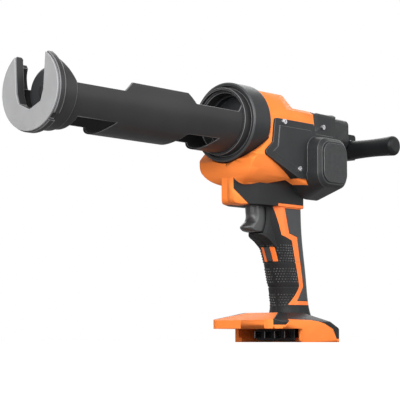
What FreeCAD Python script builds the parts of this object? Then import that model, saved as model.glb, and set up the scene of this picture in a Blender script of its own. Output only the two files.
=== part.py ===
import FreeCAD, Part
import math
import os
import re
import Sketcher
from FreeCAD import Placement, Rotation, Vector

# Cordless caulking tool: a half-tube cartridge carrier in front of a pistol-grip body, with a rack rod
# driven by a transverse motor through a planetary stage, and a foot that takes a slide-on battery.
# The row frame has its origin on the floor under the heel of the foot, +X to the rear, +Z up.
# Sizes are worked out in the barrel frame: X back from the collar's front face, Z up from the barrel axis.

DIMENSIONS = {
    # common fits, and how far a cut runs past the face that it opens
    "shell_wall": 2.4,
    "fit_gap": 0.3,
    "run_gap": 0.05,
    "cut_margin": 1.0,
    # cartridge carrier: half tube with stepped rims and two windows underneath
    "tube_radius": 28.0,
    "tube_wall": 1.6,
    "rim_low": 5.4,
    "rim_high": 14.2,
    "wing_from_nose": 76.7,
    "wing_rise": 11.6,
    "wing_back": 72.2,
    "wing_fall": 6.8,
    "rim_back": 11.7,
    "rim_ramp": 12.0,
    "window_level": 19.5,
    "window_slant": 9.0,
    "front_window_from_nose": 32.4,
    "front_window_length": 42.6,
    "rear_window_start": 67.2,
    "rear_window_end": 29.2,
    # nose of the carrier
    "nose_reach": 226.4,
    "nose_radius": 33.4,
    "nose_thickness": 9.0,
    "nose_chamfer": 1.2,
    "sleeve_radius": 30.0,
    "sleeve_length": 14.0,
    "slot_radius": 15.8,
    "slot_mouth": 19.4,
    "slot_side_drop": 2.0,
    "slot_foot_half_width": 12.7,
    "slot_foot_drop": 10.5,
    "face_thickness": 1.2,
    "face_edge": 0.9,
    "notch_width": 7.0,
    "notch_depth": 3.0,
    "notch_turn": 45.0,
    # carrier's rear ring, lock collar and the boss they turn on
    "ring_front": 6.0,
    "ring_radius": 30.0,
    "ring_bore": 25.6,
    "tube_seat": 4.0,
    "flange_radius": 33.0,
    "flange_thickness": 5.5,
    "collar_radius": 35.7,
    "collar_length": 24.0,
    "collar_lip": 2.2,
    "collar_opening": 32.2,
    "collar_round": 2.0,
    "spigot_radius": 33.2,
    "boss_bore": 24.0,
    "boss_wall_at": 15.0,
    "boss_wall": 5.0,
    "boss_step": 1.6,
    "boss_flange": 3.0,
    "bush_radius": 11.0,
    "bush_lip": 12.0,
    "bush_lip_thickness": 2.0,
    "bush_length": 12.0,
    # push rod, plunger and pull handle
    "rod_width": 9.0,
    "rod_height": 10.0,
    "rod_gap": 0.3,
    "plunger_radius": 20.3,
    "plunger_thickness": 7.0,
    "plunger_from_nose": 24.0,
    "plunger_stop": 17.4,
    "plunger_round": 2.0,
    "nut_radius": 5.0,
    "nut_thickness": 4.0,
    "nut_chamfer": 1.0,
    "rack_module": 1.5,
    "rack_addendum": 1.1,
    "rack_dedendum": 1.8,
    "rack_margin": 14.0,
    "hub_gap": 3.0,
    "hub_length": 16.0,
    "hub_width": 17.0,
    "hub_top": 6.9,
    "hub_round": 3.0,
    "rod_pin_radius": 1.5,
    "pull_radius": 9.4,
    "pull_waist": 8.5,
    "pull_reach": 61.5,
    "pull_drop": 8.5,
    "pull_end_round": 4.0,
    # body shell
    "body_front": 24.3,
    "body_half_width": 34.0,
    "body_behind": 4.75,
    "roof_height": 22.0,
    "roof_half_width": 8.0,
    "shoulder_height": 14.0,
    "shoulder_inset": 4.0,
    "side_top": 4.0,
    "back_round": 10.0,
    "underside_round": 4.0,
    "front_corner_round": 5.0,
    "rear_corner_round": 6.0,
    "belly_front": 2.2,
    "belly_floor": 56.0,
    "belly_back": 26.0,
    "belly_lift": 1.0,
    "belly_top": 34.0,
    "belly_ramp_top": 13.0,
    "belly_round": 14.0,
    "belly_side_round": 29.0,
    "tuck_ahead": 33.25,
    "tuck_floor": 47.5,
    "hump_radius": 33.3,
    "hump_back": 77.0,
    "hump_foot": 93.0,
    "facet_half_width": 4.0,
    "facet_front": 52.0,
    "facet_reach": 28.0,
    "facet_floor": 16.0,
    "collar_clearance": 0.9,
    # rear cover with the tail that guides the rod
    "apex_from_back": 8.0,
    "apex_half_width": 10.0,
    "notch_lap": 1.0,
    "notch_lift": 1.0,
    "cover_floor": 48.0,
    "neck_half_width": 17.0,
    "neck_length": 23.0,
    "neck_roof": 20.5,
    "neck_floor": 8.0,
    "neck_round": 4.0,
    "tail_half_width": 14.0,
    "tail_length": 25.0,
    "tail_roof": 19.5,
    "tail_floor": 8.2,
    "tail_round": 6.0,
    "rear_bush_length": 14.0,
    "rear_bush_wall": 1.3,
    # speed dial and release lever on the tail
    "dial_from_back": 14.5,
    "dial_radius": 7.5,
    "dial_thickness": 3.2,
    "dial_stem": 2.5,
    "dial_stem_length": 5.0,
    "dial_grooves": 24.0,
    "dial_groove_depth": 0.6,
    "dial_step": 0.8,
    "lever_pivot_back": 6.5,
    "lever_pivot_drop": 5.9,
    "lever_half_width": 6.0,
    "lever_thickness": 3.4,
    "lever_reach": 8.0,
    "lever_tip_drop": 3.4,
    "lever_pin_radius": 1.2,
    # motor cover with its bulge and the bare badge plate
    "panel_thickness": 2.0,
    "panel_root": 9.0,
    "panel_top": 3.8,
    "panel_front": 28.0,
    "panel_chin": 12.5,
    "panel_chin_height": 28.6,
    "panel_brow_height": 18.0,
    "panel_low_ahead": 34.25,
    "panel_low_height": 47.5,
    "panel_from_back": 6.0,
    "panel_round": 3.0,
    "plateau_margin": 6.5,
    "plateau_height": 0.8,
    "bulge_ahead": 25.25,
    "bulge_behind": 23.75,
    "bulge_above": 27.0,
    "bulge_below": 31.5,
    "bulge_round": 12.0,
    "bulge_low_round": 24.0,
    "bulge_half_width": 50.4,
    "bulge_crown": 3.0,
    "badge_half_length": 18.75,
    "badge_half_height": 19.5,
    "badge_round": 11.0,
    "badge_thickness": 1.2,
    "badge_rim": 1.6,
    "screw_head_radius": 2.7,
    "screw_head_height": 1.8,
    "screw_shank_radius": 1.5,
    "screw_shank_length": 5.5,
    "screw_socket_radius": 1.2,
    "screw_socket_depth": 1.0,
    "upper_screw_back": 40.0,
    "upper_screw_inset": 2.6,
    "lower_screw_ahead": 34.0,
    "lower_screw_drop": 39.0,
    "rear_screw_back": 3.0,
    "rear_screw_height": 7.0,
    # motor and gear train
    "motor_back": 95.25,
    "can_room": 0.85,
    "can_wall": 1.6,
    "motor_shaft_radius": 1.6,
    "rotor_radius": 11.0,
    "rotor_room": 1.5,
    "ring_wall": 2.25,
    "ring_gear_width": 8.5,
    "gear_plate": 2.4,
    "gear_module": 0.75,
    "sun_teeth": 12.0,
    "planet_teeth": 15.0,
    "planet_count": 3.0,
    "planet_width": 5.0,
    "planet_pin_radius": 1.5,
    "planet_plate": 1.5,
    "planet_plate_radius": 13.0,
    "output_shaft_radius": 3.0,
    "spur_module": 0.8,
    "output_teeth": 12.0,
    "spur_teeth": 32.0,
    "spur_width": 7.0,
    "pinion_teeth": 14.0,
    "pinion_width": 11.0,
    "pinion_shaft_radius": 4.0,
    "bearing_post_radius": 8.0,
    "pressure_angle": 20.0,
    "tooth_up": 90.0,
    "tooth_tip": 0.8,
    "tooth_root": 1.05,
    "pinion_tip": 1.0,
    "pinion_root": 1.2,
    "tooth_thinning": 0.14,
    "stack_gap": 0.5,
    # yoke over the trigger and the grip; each step is measured down from the level above it
    "yoke_front": 4.5,
    "yoke_front_half_width": 7.0,
    "yoke_cheek": 27.0,
    "yoke_half_width": 18.5,
    "yoke_floor": 72.0,
    "yoke_top": 37.0,
    "yoke_back": 92.5,
    "yoke_round": 5.0,
    "chin_slope_top": 59.0,
    "chin_slope_run": 12.4,
    "overmould": 2.0,
    "grip_half_width": 16.0,
    "grip_swell": 1.0,
    "grip_round": 10.0,
    "grip_front_round": 15.0,
    "grip_top_front": 49.0,
    "grip_top_back": 93.5,
    "grip_lip_step": 25.0,
    "grip_lip_front": 53.5,
    "grip_lip_back": 96.0,
    "grip_palm_step": 21.0,
    "grip_palm_front": 62.2,
    "grip_palm_back": 99.0,
    "grip_waist_step": 28.0,
    "grip_waist_front": 70.3,
    "grip_waist_back": 103.0,
    "grip_root_step": 16.0,
    "grip_root_front": 72.2,
    "grip_root_back": 106.0,
    "grip_base_step": 18.5,
    "grip_base_front": 64.0,
    "grip_base_back": 111.5,
    "grip_base_half_width": 21.0,
    "beak_front": 39.6,
    "beak_half_width": 10.0,
    "beak_gap": 0.8,
    "beak_depth": 6.6,
    "beak_run": 13.0,
    "beak_round": 8.0,
    "groove_depth": 0.6,
    "groove_height": 1.2,
    "upper_groove_step": 3.0,
    "lower_groove_lift": 3.0,
    # accent stripe, back strap and the inlay at the front of the grip
    "stripe_tuck": 2.5,
    "stripe_front": 53.0,
    "stripe_width": 3.6,
    "stripe_leg_foot": 62.2,
    "stripe_jog_step": 0.5,
    "stripe_jog_back": 75.4,
    "stripe_jog_rise": 4.6,
    "stripe_knee_back": 85.5,
    "stripe_knee_lift": 2.6,
    "stripe_foot_front": 75.5,
    "stripe_foot_lift": 1.7,
    "stripe_leg_width": 7.5,
    "inlay_half_width": 8.0,
    "inlay_step": 11.0,
    "inlay_height": 13.0,
    "inlay_reach": 12.0,
    "bar_half_width": 3.2,
    "bar_proud": 0.8,
    "bar_depth": 1.6,
    # trigger and its switch
    "trigger_half_width": 7.2,
    "trigger_front": 32.5,
    "trigger_back": 50.4,
    "trigger_tuck": 6.0,
    "trigger_height": 23.7,
    "trigger_lip_front": 24.0,
    "trigger_lip_step": 18.0,
    "trigger_lip_depth": 3.2,
    "trigger_heel": 35.0,
    "trigger_scoop": 1.0,
    "trigger_scoop_step": 8.0,
    "trigger_scoop_round": 24.0,
    "trigger_round": 5.0,
    "trigger_travel": 6.0,
    "trigger_stem_radius": 3.0,
    "trigger_stem_step": 8.0,
    "trigger_stem_length": 20.0,
    "switch_front": 67.0,
    "switch_back": 82.0,
    "switch_tuck": 4.0,
    "switch_height": 19.0,
    # foot, battery seat and electrics; heights are measured up from the floor
    "foot_stand": 13.5,
    "foot_front": 22.0,
    "foot_back": 118.5,
    "foot_half_width": 39.5,
    "foot_round": 13.0,
    "foot_rear_round": 7.0,
    "plate_height": 12.0,
    "foot_lip_height": 19.5,
    "foot_crest_height": 26.5,
    "foot_crest_front": 52.0,
    "foot_crest_back": 84.0,
    "foot_crest_half_width": 22.0,
    "foot_side_height": 18.5,
    "foot_tail_height": 10.5,
    "heel_front": 60.0,
    "heel_wall": 14.0,
    "seat_half_width": 35.0,
    "rail_reach": 3.5,
    "rail_thickness": 4.0,
    "bay_front": 46.0,
    "bay_back": 94.0,
    "bay_half_width": 20.0,
    "bay_roof_height": 21.5,
    "bay_floor_height": 14.4,
    "flare_depth": 2.0,
    "flare_start": 64.0,
    "flare_start_half_width": 10.0,
    "tongue_front": 12.0,
    "tongue_half_width": 43.0,
    "tongue_back": 37.0,
    "tongue_height": 15.2,
    "flare_shoulder_back": 45.0,
    "flare_shoulder_height": 20.4,
    "flare_turn_back": 76.0,
    "flare_turn_height": 19.8,
    "flare_bend_back": 92.0,
    "flare_bend_height": 16.8,
    "flare_heel_back": 104.5,
    "flare_heel_height": 12.0,
    "flare_tail_back": 110.0,
    "flare_tail_height": 3.0,
    "board_thickness": 1.6,
    "block_front": 70.0,
    "block_half_width": 22.5,
    "block_height": 10.5,
    "contact_length": 8.0,
    "contact_height": 6.0,
    "contact_thickness": 0.9,
    "contact_pitch": 11.6,
    "contact_count": 4.0,
    # screws that close the two halves
    "shell_screw_radius": 1.6,
    "shell_screw_head": 3.3,
    "shell_screw_head_height": 2.4,
    "shell_screw_gap": 0.2,
    "shell_post_radius": 4.2,
    "shell_screw_reach": 9.0,
    "belly_screw_back": 17.0,
    "belly_screw_drop": 46.5,
    "palm_screw_back": 82.0,
    "palm_screw_lift": 6.0,
    "root_screw_back": 88.0,
    "root_screw_lift": 4.0,
    "brow_screw_back": 40.0,
    "brow_screw_drop": 26.0,
}

doc = FreeCAD.newDocument("caulking_tool")
sheet = doc.addObject("Spreadsheet::Sheet", "Dims")
for row, (name, value) in enumerate(DIMENSIONS.items(), 1):
    sheet.set("A%d" % row, name)
    sheet.set("B%d" % row, str(value))
    sheet.setAlias("B%d" % row, name)
doc.recompute()


class Values:
    """The sheet's values, read back by name."""

    def __getattr__(self, name):
        return float(sheet.get(name))


size = Values()
ALIASES = re.compile(r"\b(" + "|".join(sorted(DIMENSIONS, key=len, reverse=True)) + r")\b")
sub_parts = []


def formula(text):
    """A formula in sheet names, written as an expression of the document."""
    return ALIASES.sub(lambda hit: "Dims." + hit.group(0), text)


def number(text):
    """The value of such a formula, worked out by the sheet's document."""
    sheet.set("D1", "=" + text)
    sheet.recompute()
    return float(sheet.get("D1"))


def keep(item, label):
    """Name a finished sub-part and list it for writing."""
    item.Label = label
    sub_parts.append(item)
    return item


# stations along the barrel and levels down from it, each a step on from the one before
HEEL = "foot_back - heel_wall / 2"
LIP_STEP = "yoke_floor + grip_lip_step"
PALM_STEP = LIP_STEP + " + grip_palm_step"
WAIST_STEP = PALM_STEP + " + grip_waist_step"
ROOT_STEP = WAIST_STEP + " + grip_root_step"
BASE_STEP = ROOT_STEP + " + grip_base_step"
AXIS_RISE = BASE_STEP + " + foot_stand"
MOTOR_LEVEL = ("rack_addendum - rod_height / 2 - rack_module * pinion_teeth / 2"
               " - spur_module * (output_teeth + spur_teeth) / 2")
RING_CASE_SIZE = "gear_module * (sun_teeth / 2 + planet_teeth) + ring_wall"
CAN_SIZE = "badge_half_length - shell_wall - can_room"
CAN_LEFT_END = "-(bulge_half_width - shell_wall - fit_gap)"
SPUR_LEFT_END = "-(pinion_width / 2 + 2 * stack_gap + spur_width)"
CAN_RIGHT_END = SPUR_LEFT_END + " - stack_gap - gear_plate - ring_gear_width"
BODY_END = "motor_back + " + RING_CASE_SIZE + " + body_behind"
NECK_END = BODY_END + " + neck_length"
TAIL_END = NECK_END + " + tail_length"
LIP = -number(LIP_STEP)
PALM = -number(PALM_STEP)
WAIST = -number(WAIST_STEP)
ROOT = -number(ROOT_STEP)
BASE = -number(BASE_STEP)
GROUND = -number(AXIS_RISE)
MOTOR_Z = number(MOTOR_LEVEL)
RING_CASE = number(RING_CASE_SIZE)
CAN_RADIUS = number(CAN_SIZE)
BODY_BACK = number(BODY_END)
NECK_BACK = number(NECK_END)
TAIL_BACK = number(TAIL_END)
BODY_FLOOR = MOTOR_Z - RING_CASE - size.fit_gap - size.shell_wall


def place_in_row(item, x="0", y="0", z="0"):
    """Bind an object's place, given in the barrel frame, to the row frame."""
    item.setExpression("Placement.Base.x", formula("(%s) - (%s)" % (x, HEEL)))
    item.setExpression("Placement.Base.y", formula(y))
    item.setExpression("Placement.Base.z", formula("(%s) + %s" % (z, AXIS_RISE)))


# shapes made straight from the sheet's values, in the barrel frame


def shape_part(label, shape):
    """A sub-part whose shape no single feature gives."""
    item = doc.addObject("Part::Feature", label)
    item.Shape = shape
    item.Placement = Placement(Vector(-number(HEEL), 0, -GROUND), Rotation())
    return keep(item, label)


def block(x0, x1, y0, y1, z0, z1):
    return Part.makeBox(x1 - x0, y1 - y0, z1 - z0, Vector(x0, y0, z0))


def bar_x(radius, x0, x1, y=0.0, z=0.0):
    return Part.makeCylinder(radius, x1 - x0, Vector(x0, y, z), Vector(1, 0, 0))


def bar_y(radius, y0, y1, x, z):
    return Part.makeCylinder(radius, y1 - y0, Vector(x, y0, z), Vector(0, 1, 0))


def bar_z(radius, z0, z1, x, y):
    return Part.makeCylinder(radius, z1 - z0, Vector(x, y, z0), Vector(0, 0, 1))


def contour(corners, lift):
    """A closed wire through corners (u, v, radius), with each corner rounded by its radius."""
    count = len(corners)
    edges = []
    runs = []
    for index in range(count):
        before = corners[index - 1]
        here = corners[index]
        after = corners[(index + 1) % count]
        point = Vector(here[0], here[1], 0)
        back = (Vector(before[0], before[1], 0) - point).normalize()
        ahead = (Vector(after[0], after[1], 0) - point).normalize()
        radius = here[2]
        if radius <= 0:
            runs.append((point, None, point))
            continue
        half = back.getAngle(ahead) / 2
        reach = radius / math.tan(half)
        middle = point + (back + ahead).normalize() * (radius / math.sin(half) - radius)
        runs.append((point + back * reach, middle, point + ahead * reach))
    for index in range(count):
        start, middle, end = runs[index]
        following = runs[(index + 1) % count][0]
        if middle is not None:
            edges.append(Part.Arc(lift(start), lift(middle), lift(end)).toShape())
        if (following - end).Length > 1e-6:
            edges.append(Part.makeLine(lift(end), lift(following)))
    return Part.Wire(edges)


def inset(corners, depth):
    """The same outline moved inwards by a depth; the corners run anticlockwise."""
    count = len(corners)
    lines = []
    for index in range(count):
        a = Vector(corners[index][0], corners[index][1], 0)
        b = Vector(corners[(index + 1) % count][0], corners[(index + 1) % count][1], 0)
        along = (b - a).normalize()
        lines.append((a + Vector(-along.y, along.x, 0) * depth, along))
    moved = []
    for index in range(count):
        p, u = lines[index - 1]
        q, w = lines[index]
        cross = u.x * w.y - u.y * w.x
        run = ((q.x - p.x) * w.y - (q.y - p.y) * w.x) / cross
        corner = p + u * run
        moved.append((corner.x, corner.y, max(corners[index][2] - depth, 0.0)))
    return moved


def side_prism(corners, y0, y1):
    """An outline in X and Z, drawn through from y0 to y1."""
    wire = contour(corners, lambda p: Vector(p.x, y0, p.y))
    return Part.Face(wire).extrude(Vector(0, y1 - y0, 0))


def front_prism(corners, x0, x1):
    """An outline in Y and Z, drawn through from x0 to x1."""
    wire = contour(corners, lambda p: Vector(x0, p.x, p.y))
    return Part.Face(wire).extrude(Vector(x1 - x0, 0, 0))


def plan_prism(corners, z0, z1):
    """An outline in X and Y, drawn through from z0 to z1."""
    wire = contour(corners, lambda p: Vector(p.x, p.y, z0))
    return Part.Face(wire).extrude(Vector(0, 0, z1 - z0))


def rectangle(u0, u1, v0, v1, radius=0.0):
    return [(u0, v0, radius), (u1, v0, radius), (u1, v1, radius), (u0, v1, radius)]


def mirrored(corners):
    """An outline given for v >= 0, closed by its mirror image below."""
    below = [(u, -v, r) for u, v, r in reversed(corners)]
    return below + list(corners)


# parametric helpers: turned and padded bodies whose sketches are bound to the sheet


def bound_sketch(body, plane_role, points):
    """A closed sketch of straight lines whose every corner is bound to two formulas."""
    plane = [item for item in body.Origin.OriginFeatures if item.Role == plane_role][0]
    sketch = body.newObject("Sketcher::SketchObject", body.Name + "_sketch")
    sketch.AttachmentSupport = [(plane, "")]
    sketch.MapMode = "FlatFace"
    values = [(number(u), number(v)) for u, v in points]
    count = len(points)
    for index in range(count):
        a = values[index]
        b = values[(index + 1) % count]
        sketch.addGeometry(Part.LineSegment(Vector(a[0], a[1], 0), Vector(b[0], b[1], 0)))
    for index in range(count):
        sketch.addConstraint(Sketcher.Constraint("Coincident", index, 2, (index + 1) % count, 1))
    for index in range(count):
        for axis, kind in enumerate(("DistanceX", "DistanceY")):
            rule = Sketcher.Constraint(kind, -1, 1, index, 1, values[index][axis])
            place = sketch.addConstraint(rule)
            sketch.setExpression("Constraints[%d]" % place, formula(points[index][axis]))
    return sketch


def turned(label, points, along="X", x="0", y="0", z="0"):
    """A body turned about an axis along X or Y from a profile of (along, radius) corners."""
    body = doc.addObject("PartDesign::Body", label)
    sketch = bound_sketch(body, "XZ_Plane" if along == "X" else "YZ_Plane", points)
    turn = body.newObject("PartDesign::Revolution", label + "_turn")
    turn.Profile = sketch
    turn.ReferenceAxis = (sketch, ["H_Axis"])
    turn.Angle = 360
    place_in_row(body, x, y, z)
    return body


def padded(label, plane_role, points, low, high):
    """A body padded from an outline between two levels along the plane's own axis."""
    body = doc.addObject("PartDesign::Body", label)
    sketch = bound_sketch(body, plane_role, points)
    level = "-(%s)" % high if plane_role == "XZ_Plane" else low
    sketch.setExpression("AttachmentOffset.Base.z", formula(level))
    pad = body.newObject("PartDesign::Pad", label + "_pad")
    pad.Profile = sketch
    pad.setExpression("Length", formula("(%s) - (%s)" % (high, low)))
    place_in_row(body)
    return body


def box_points(u0, u1, v0, v1):
    return [(u0, v0), (u1, v0), (u1, v1), (u0, v1)]


def cut_away(label, base, tools):
    """A part cut by other objects of the document."""
    tool = tools[0]
    if len(tools) > 1:
        tool = doc.addObject("Part::MultiFuse", label + "_tools")
        tool.Shapes = tools
    cut = doc.addObject("Part::Cut", label)
    cut.Base = base
    cut.Tool = tool
    return cut


# carrier: half tube, nose with its open slot, steel face and rear ring


def carrier_tube_shape():
    """Bent sheet-steel half tube with high wings in the middle and two windows in its floor."""
    front = -size.nose_reach + size.nose_thickness
    back = -size.ring_front + size.tube_seat
    outer = bar_x(size.tube_radius, front, back)
    inner = bar_x(size.tube_radius - size.tube_wall, front, back)
    tube = outer.cut(inner)
    sky = size.tube_radius * 2
    wing_front = -size.nose_reach + size.wing_from_nose
    ramp_back = -size.rim_back + size.rim_ramp
    ramp_top = size.rim_low + size.rim_ramp
    opening = [
        (front, size.rim_low, 0),
        (wing_front, size.rim_low, 0),
        (wing_front + size.wing_rise, size.rim_high, 0),
        (-size.wing_back, size.rim_high, 0),
        (-size.wing_back + size.wing_fall, size.rim_low, 0),
        (-size.rim_back, size.rim_low, 0),
        (ramp_back, ramp_top, 0),
        (ramp_back, sky, 0),
        (front, sky, 0),
    ]
    tube = tube.cut(side_prism(opening, -sky, sky))
    slant = size.window_slant
    front_window = size.nose_reach - size.front_window_from_nose
    for start, end, lean in (
        (front_window, front_window - size.front_window_length, 0.0),
        (size.rear_window_start, size.rear_window_end, slant),
    ):
        window = [
            (-start - lean, -sky, 0),
            (-end - slant, -sky, 0),
            (-end - slant, -size.tube_radius, 0),
            (-end, -size.window_level, 0),
            (-start, -size.window_level, 0),
            (-start - lean, -size.tube_radius, 0),
        ]
        tube = tube.cut(side_prism(window, -sky, sky))
    return tube


def slot_prism(x0, x1):
    """The open slot that a cartridge's nozzle drops into."""
    half = size.slot_radius
    mouth = size.slot_mouth
    top = size.nose_radius + size.slot_radius
    right = [
        (size.slot_foot_half_width, -size.slot_foot_drop, 0),
        (half, -size.slot_side_drop, 0),
        (mouth, top, 0),
    ]
    left = [(-u, v, r) for u, v, r in reversed(right)]
    return front_prism([(0, -half, 0)] + right + left, x0, x1)


def nose_ring_shape():
    """Cast nose: a flange with a chamfered edge, a sleeve over the tube and two side notches."""
    front = -size.nose_reach + size.face_thickness
    flange_back = -size.nose_reach + size.nose_thickness
    sleeve_back = flange_back + size.sleeve_length
    flange = bar_x(size.nose_radius, front, flange_back)
    rims = [edge for edge in flange.Edges if isinstance(edge.Curve, Part.Circle)]
    flange = flange.makeChamfer(size.nose_chamfer, rims)
    sleeve = bar_x(size.sleeve_radius, flange_back, sleeve_back)
    tube_hole = bar_x(size.tube_radius, flange_back, sleeve_back)
    ring = flange.fuse(sleeve).cut(tube_hole)
    ring = ring.cut(slot_prism(front - size.cut_margin, flange_back + size.cut_margin))
    sky = size.nose_radius * 2
    slope = [
        (flange_back, size.nose_radius, 0),
        (sleeve_back, size.rim_low, 0),
        (sleeve_back + size.cut_margin, size.rim_low, 0),
        (sleeve_back + size.cut_margin, sky, 0),
        (flange_back, sky, 0),
    ]
    ring = ring.cut(side_prism(slope, -sky, sky))
    throat = front_prism(
        rectangle(-size.slot_mouth, size.slot_mouth, 0, sky, 0),
        flange_back,
        sleeve_back + size.cut_margin,
    )
    ring = ring.cut(throat)
    for side in (-1, 1):
        notch = block(
            flange_back - size.notch_width,
            flange_back,
            -size.notch_width / 2,
            size.notch_width / 2,
            -size.nose_radius - size.cut_margin,
            -size.nose_radius + size.notch_depth,
        )
        notch.rotate(Vector(0, 0, 0), Vector(1, 0, 0), side * size.notch_turn)
        ring = ring.cut(notch)
    return ring


def nose_face_shape():
    """Thin steel face on the nose, a little smaller than the casting."""
    front = -size.nose_reach
    face = bar_x(size.nose_radius - size.face_edge, front, front + size.face_thickness)
    return face.cut(slot_prism(front - size.cut_margin, front + size.face_thickness + size.cut_margin))


shape_part("carrier_tube", carrier_tube_shape())
shape_part("nose_ring", nose_ring_shape())
shape_part("nose_face", nose_face_shape())

FLANGE_FRONT = "collar_lip + fit_gap"
FLANGE_BACK = "collar_lip + fit_gap + flange_thickness"
carrier_ring = turned("carrier_ring", [
    ("-ring_front", "tube_radius"),
    ("-ring_front", "ring_radius"),
    (FLANGE_FRONT, "ring_radius"),
    (FLANGE_FRONT, "flange_radius"),
    (FLANGE_BACK, "flange_radius"),
    (FLANGE_BACK, "ring_bore"),
    ("tube_seat - ring_front", "ring_bore"),
    ("tube_seat - ring_front", "tube_radius"),
])
keep(carrier_ring, "carrier_ring")

# lock collar that holds the carrier's flange against the boss
COLLAR_BORE = "spigot_radius + fit_gap"
lock_collar = turned("lock_collar", [
    ("0", "collar_opening"),
    ("0", "collar_radius - collar_round / 2"),
    ("collar_round / 2", "collar_radius"),
    ("collar_length - collar_round", "collar_radius"),
    ("collar_length", "collar_radius - collar_round"),
    ("collar_length", COLLAR_BORE),
    ("collar_lip", COLLAR_BORE),
    ("collar_lip", "collar_opening"),
])
keep(lock_collar, "lock_collar")

# front boss: spigot for the collar, wall round the rod, neck gripped by the two shells
SPIGOT_FRONT = "collar_lip + flange_thickness + 2 * fit_gap"
BOSS_FLANGE = "min(body_half_width; hump_radius) - shell_wall - 2 * fit_gap"
BOSS_NECK = BOSS_FLANGE + " - boss_step"
BOSS_BACK = "body_front + shell_wall + fit_gap + boss_flange"
boss_body = turned("front_boss_turned", [
    (SPIGOT_FRONT, "boss_bore"),
    (SPIGOT_FRONT, "spigot_radius"),
    ("body_front - fit_gap", "spigot_radius"),
    ("body_front - fit_gap", BOSS_NECK),
    ("body_front + shell_wall + fit_gap", BOSS_NECK),
    ("body_front + shell_wall + fit_gap", BOSS_FLANGE),
    (BOSS_BACK, BOSS_FLANGE),
    (BOSS_BACK, "boss_bore"),
    ("boss_wall_at + boss_wall", "boss_bore"),
    ("boss_wall_at + boss_wall", "bush_radius"),
    ("boss_wall_at", "bush_radius"),
    ("boss_wall_at", "boss_bore"),
])
keep(boss_body, "front_boss")

# rod bushes: a flanged one in the boss, a plain one in the tail, each with the rod's own hole
rod_hole = doc.addObject("Part::Box", "rod_hole")
rod_hole.setExpression("Length", formula("2 * nose_reach"))
rod_hole.setExpression("Width", formula("rod_width + 2 * rod_gap"))
rod_hole.setExpression("Height", formula("rod_height + 2 * rod_gap"))
place_in_row(rod_hole, "-nose_reach", "-rod_width / 2 - rod_gap", "-rod_height / 2 - rod_gap")

front_bush_turned = turned("front_bush_turned", [
    ("boss_wall_at - bush_lip_thickness", "0"),
    ("boss_wall_at - bush_lip_thickness", "bush_lip"),
    ("boss_wall_at", "bush_lip"),
    ("boss_wall_at", "bush_radius"),
    ("boss_wall_at + bush_length", "bush_radius"),
    ("boss_wall_at + bush_length", "0"),
])
keep(cut_away("front_bush_cut", front_bush_turned, [rod_hole]), "front_rod_bush")

REAR_BUSH_SIDE = "rod_width / 2 + rod_gap + rear_bush_wall"
REAR_BUSH_TOP = "rod_height / 2 + rod_gap + rear_bush_wall"
rear_bush_block = doc.addObject("Part::Box", "rear_bush_block")
rear_bush_block.setExpression("Length", formula("rear_bush_length"))
rear_bush_block.setExpression("Width", formula("2 * (%s)" % REAR_BUSH_SIDE))
rear_bush_block.setExpression("Height", formula("2 * (%s)" % REAR_BUSH_TOP))
place_in_row(rear_bush_block, TAIL_END + " - rear_bush_length", "-(%s)" % REAR_BUSH_SIDE,
             "-(%s)" % REAR_BUSH_TOP)
keep(cut_away("rear_bush_cut", rear_bush_block, [rod_hole]), "rear_rod_bush")

# push rod with its rack, plunger, nut, pull handle and the pin that fixes it
PITCH_LINE = -size.rod_height / 2 + size.rack_addendum
PINION_RADIUS = size.rack_module * size.pinion_teeth / 2
PINION_Z = PITCH_LINE - PINION_RADIUS
ROD_FRONT = -size.nose_reach + size.plunger_from_nose
HUB_FRONT = TAIL_BACK + size.hub_gap
HUB_BACK = HUB_FRONT + size.hub_length
PRESSURE = math.radians(size.pressure_angle)
ROD_TRAVEL = -ROD_FRONT - size.plunger_stop


def push_rod_shape():
    """Square-edged steel bar with rack teeth cut into its underside."""
    half = size.rod_height / 2
    pitch = math.pi * size.rack_module
    slope = math.tan(PRESSURE)
    tip = pitch / 4 + size.tooth_thinning / 2 + size.rack_addendum * slope
    root = pitch / 4 + size.tooth_thinning / 2 - size.rack_dedendum * slope
    root_z = PITCH_LINE + size.rack_dedendum
    before = math.ceil((ROD_TRAVEL + size.rack_margin) / pitch)
    behind = math.ceil(size.rack_margin / pitch)
    corners = [(ROD_FRONT, -half, 0)]
    for index in range(-before, behind + 1):
        middle = size.motor_back + index * pitch
        corners.append((middle - tip, -half, 0))
        corners.append((middle - root, root_z, 0))
        corners.append((middle + root, root_z, 0))
        corners.append((middle + tip, -half, 0))
    corners.append((HUB_BACK, -half, 0))
    corners.append((HUB_BACK, half, 0))
    corners.append((ROD_FRONT, half, 0))
    bar = side_prism(corners, -size.rod_width / 2, size.rod_width / 2)
    pin_x = (HUB_FRONT + HUB_BACK) / 2
    return bar.cut(bar_y(size.rod_pin_radius, -size.rod_width, size.rod_width, pin_x, 0))


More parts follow.
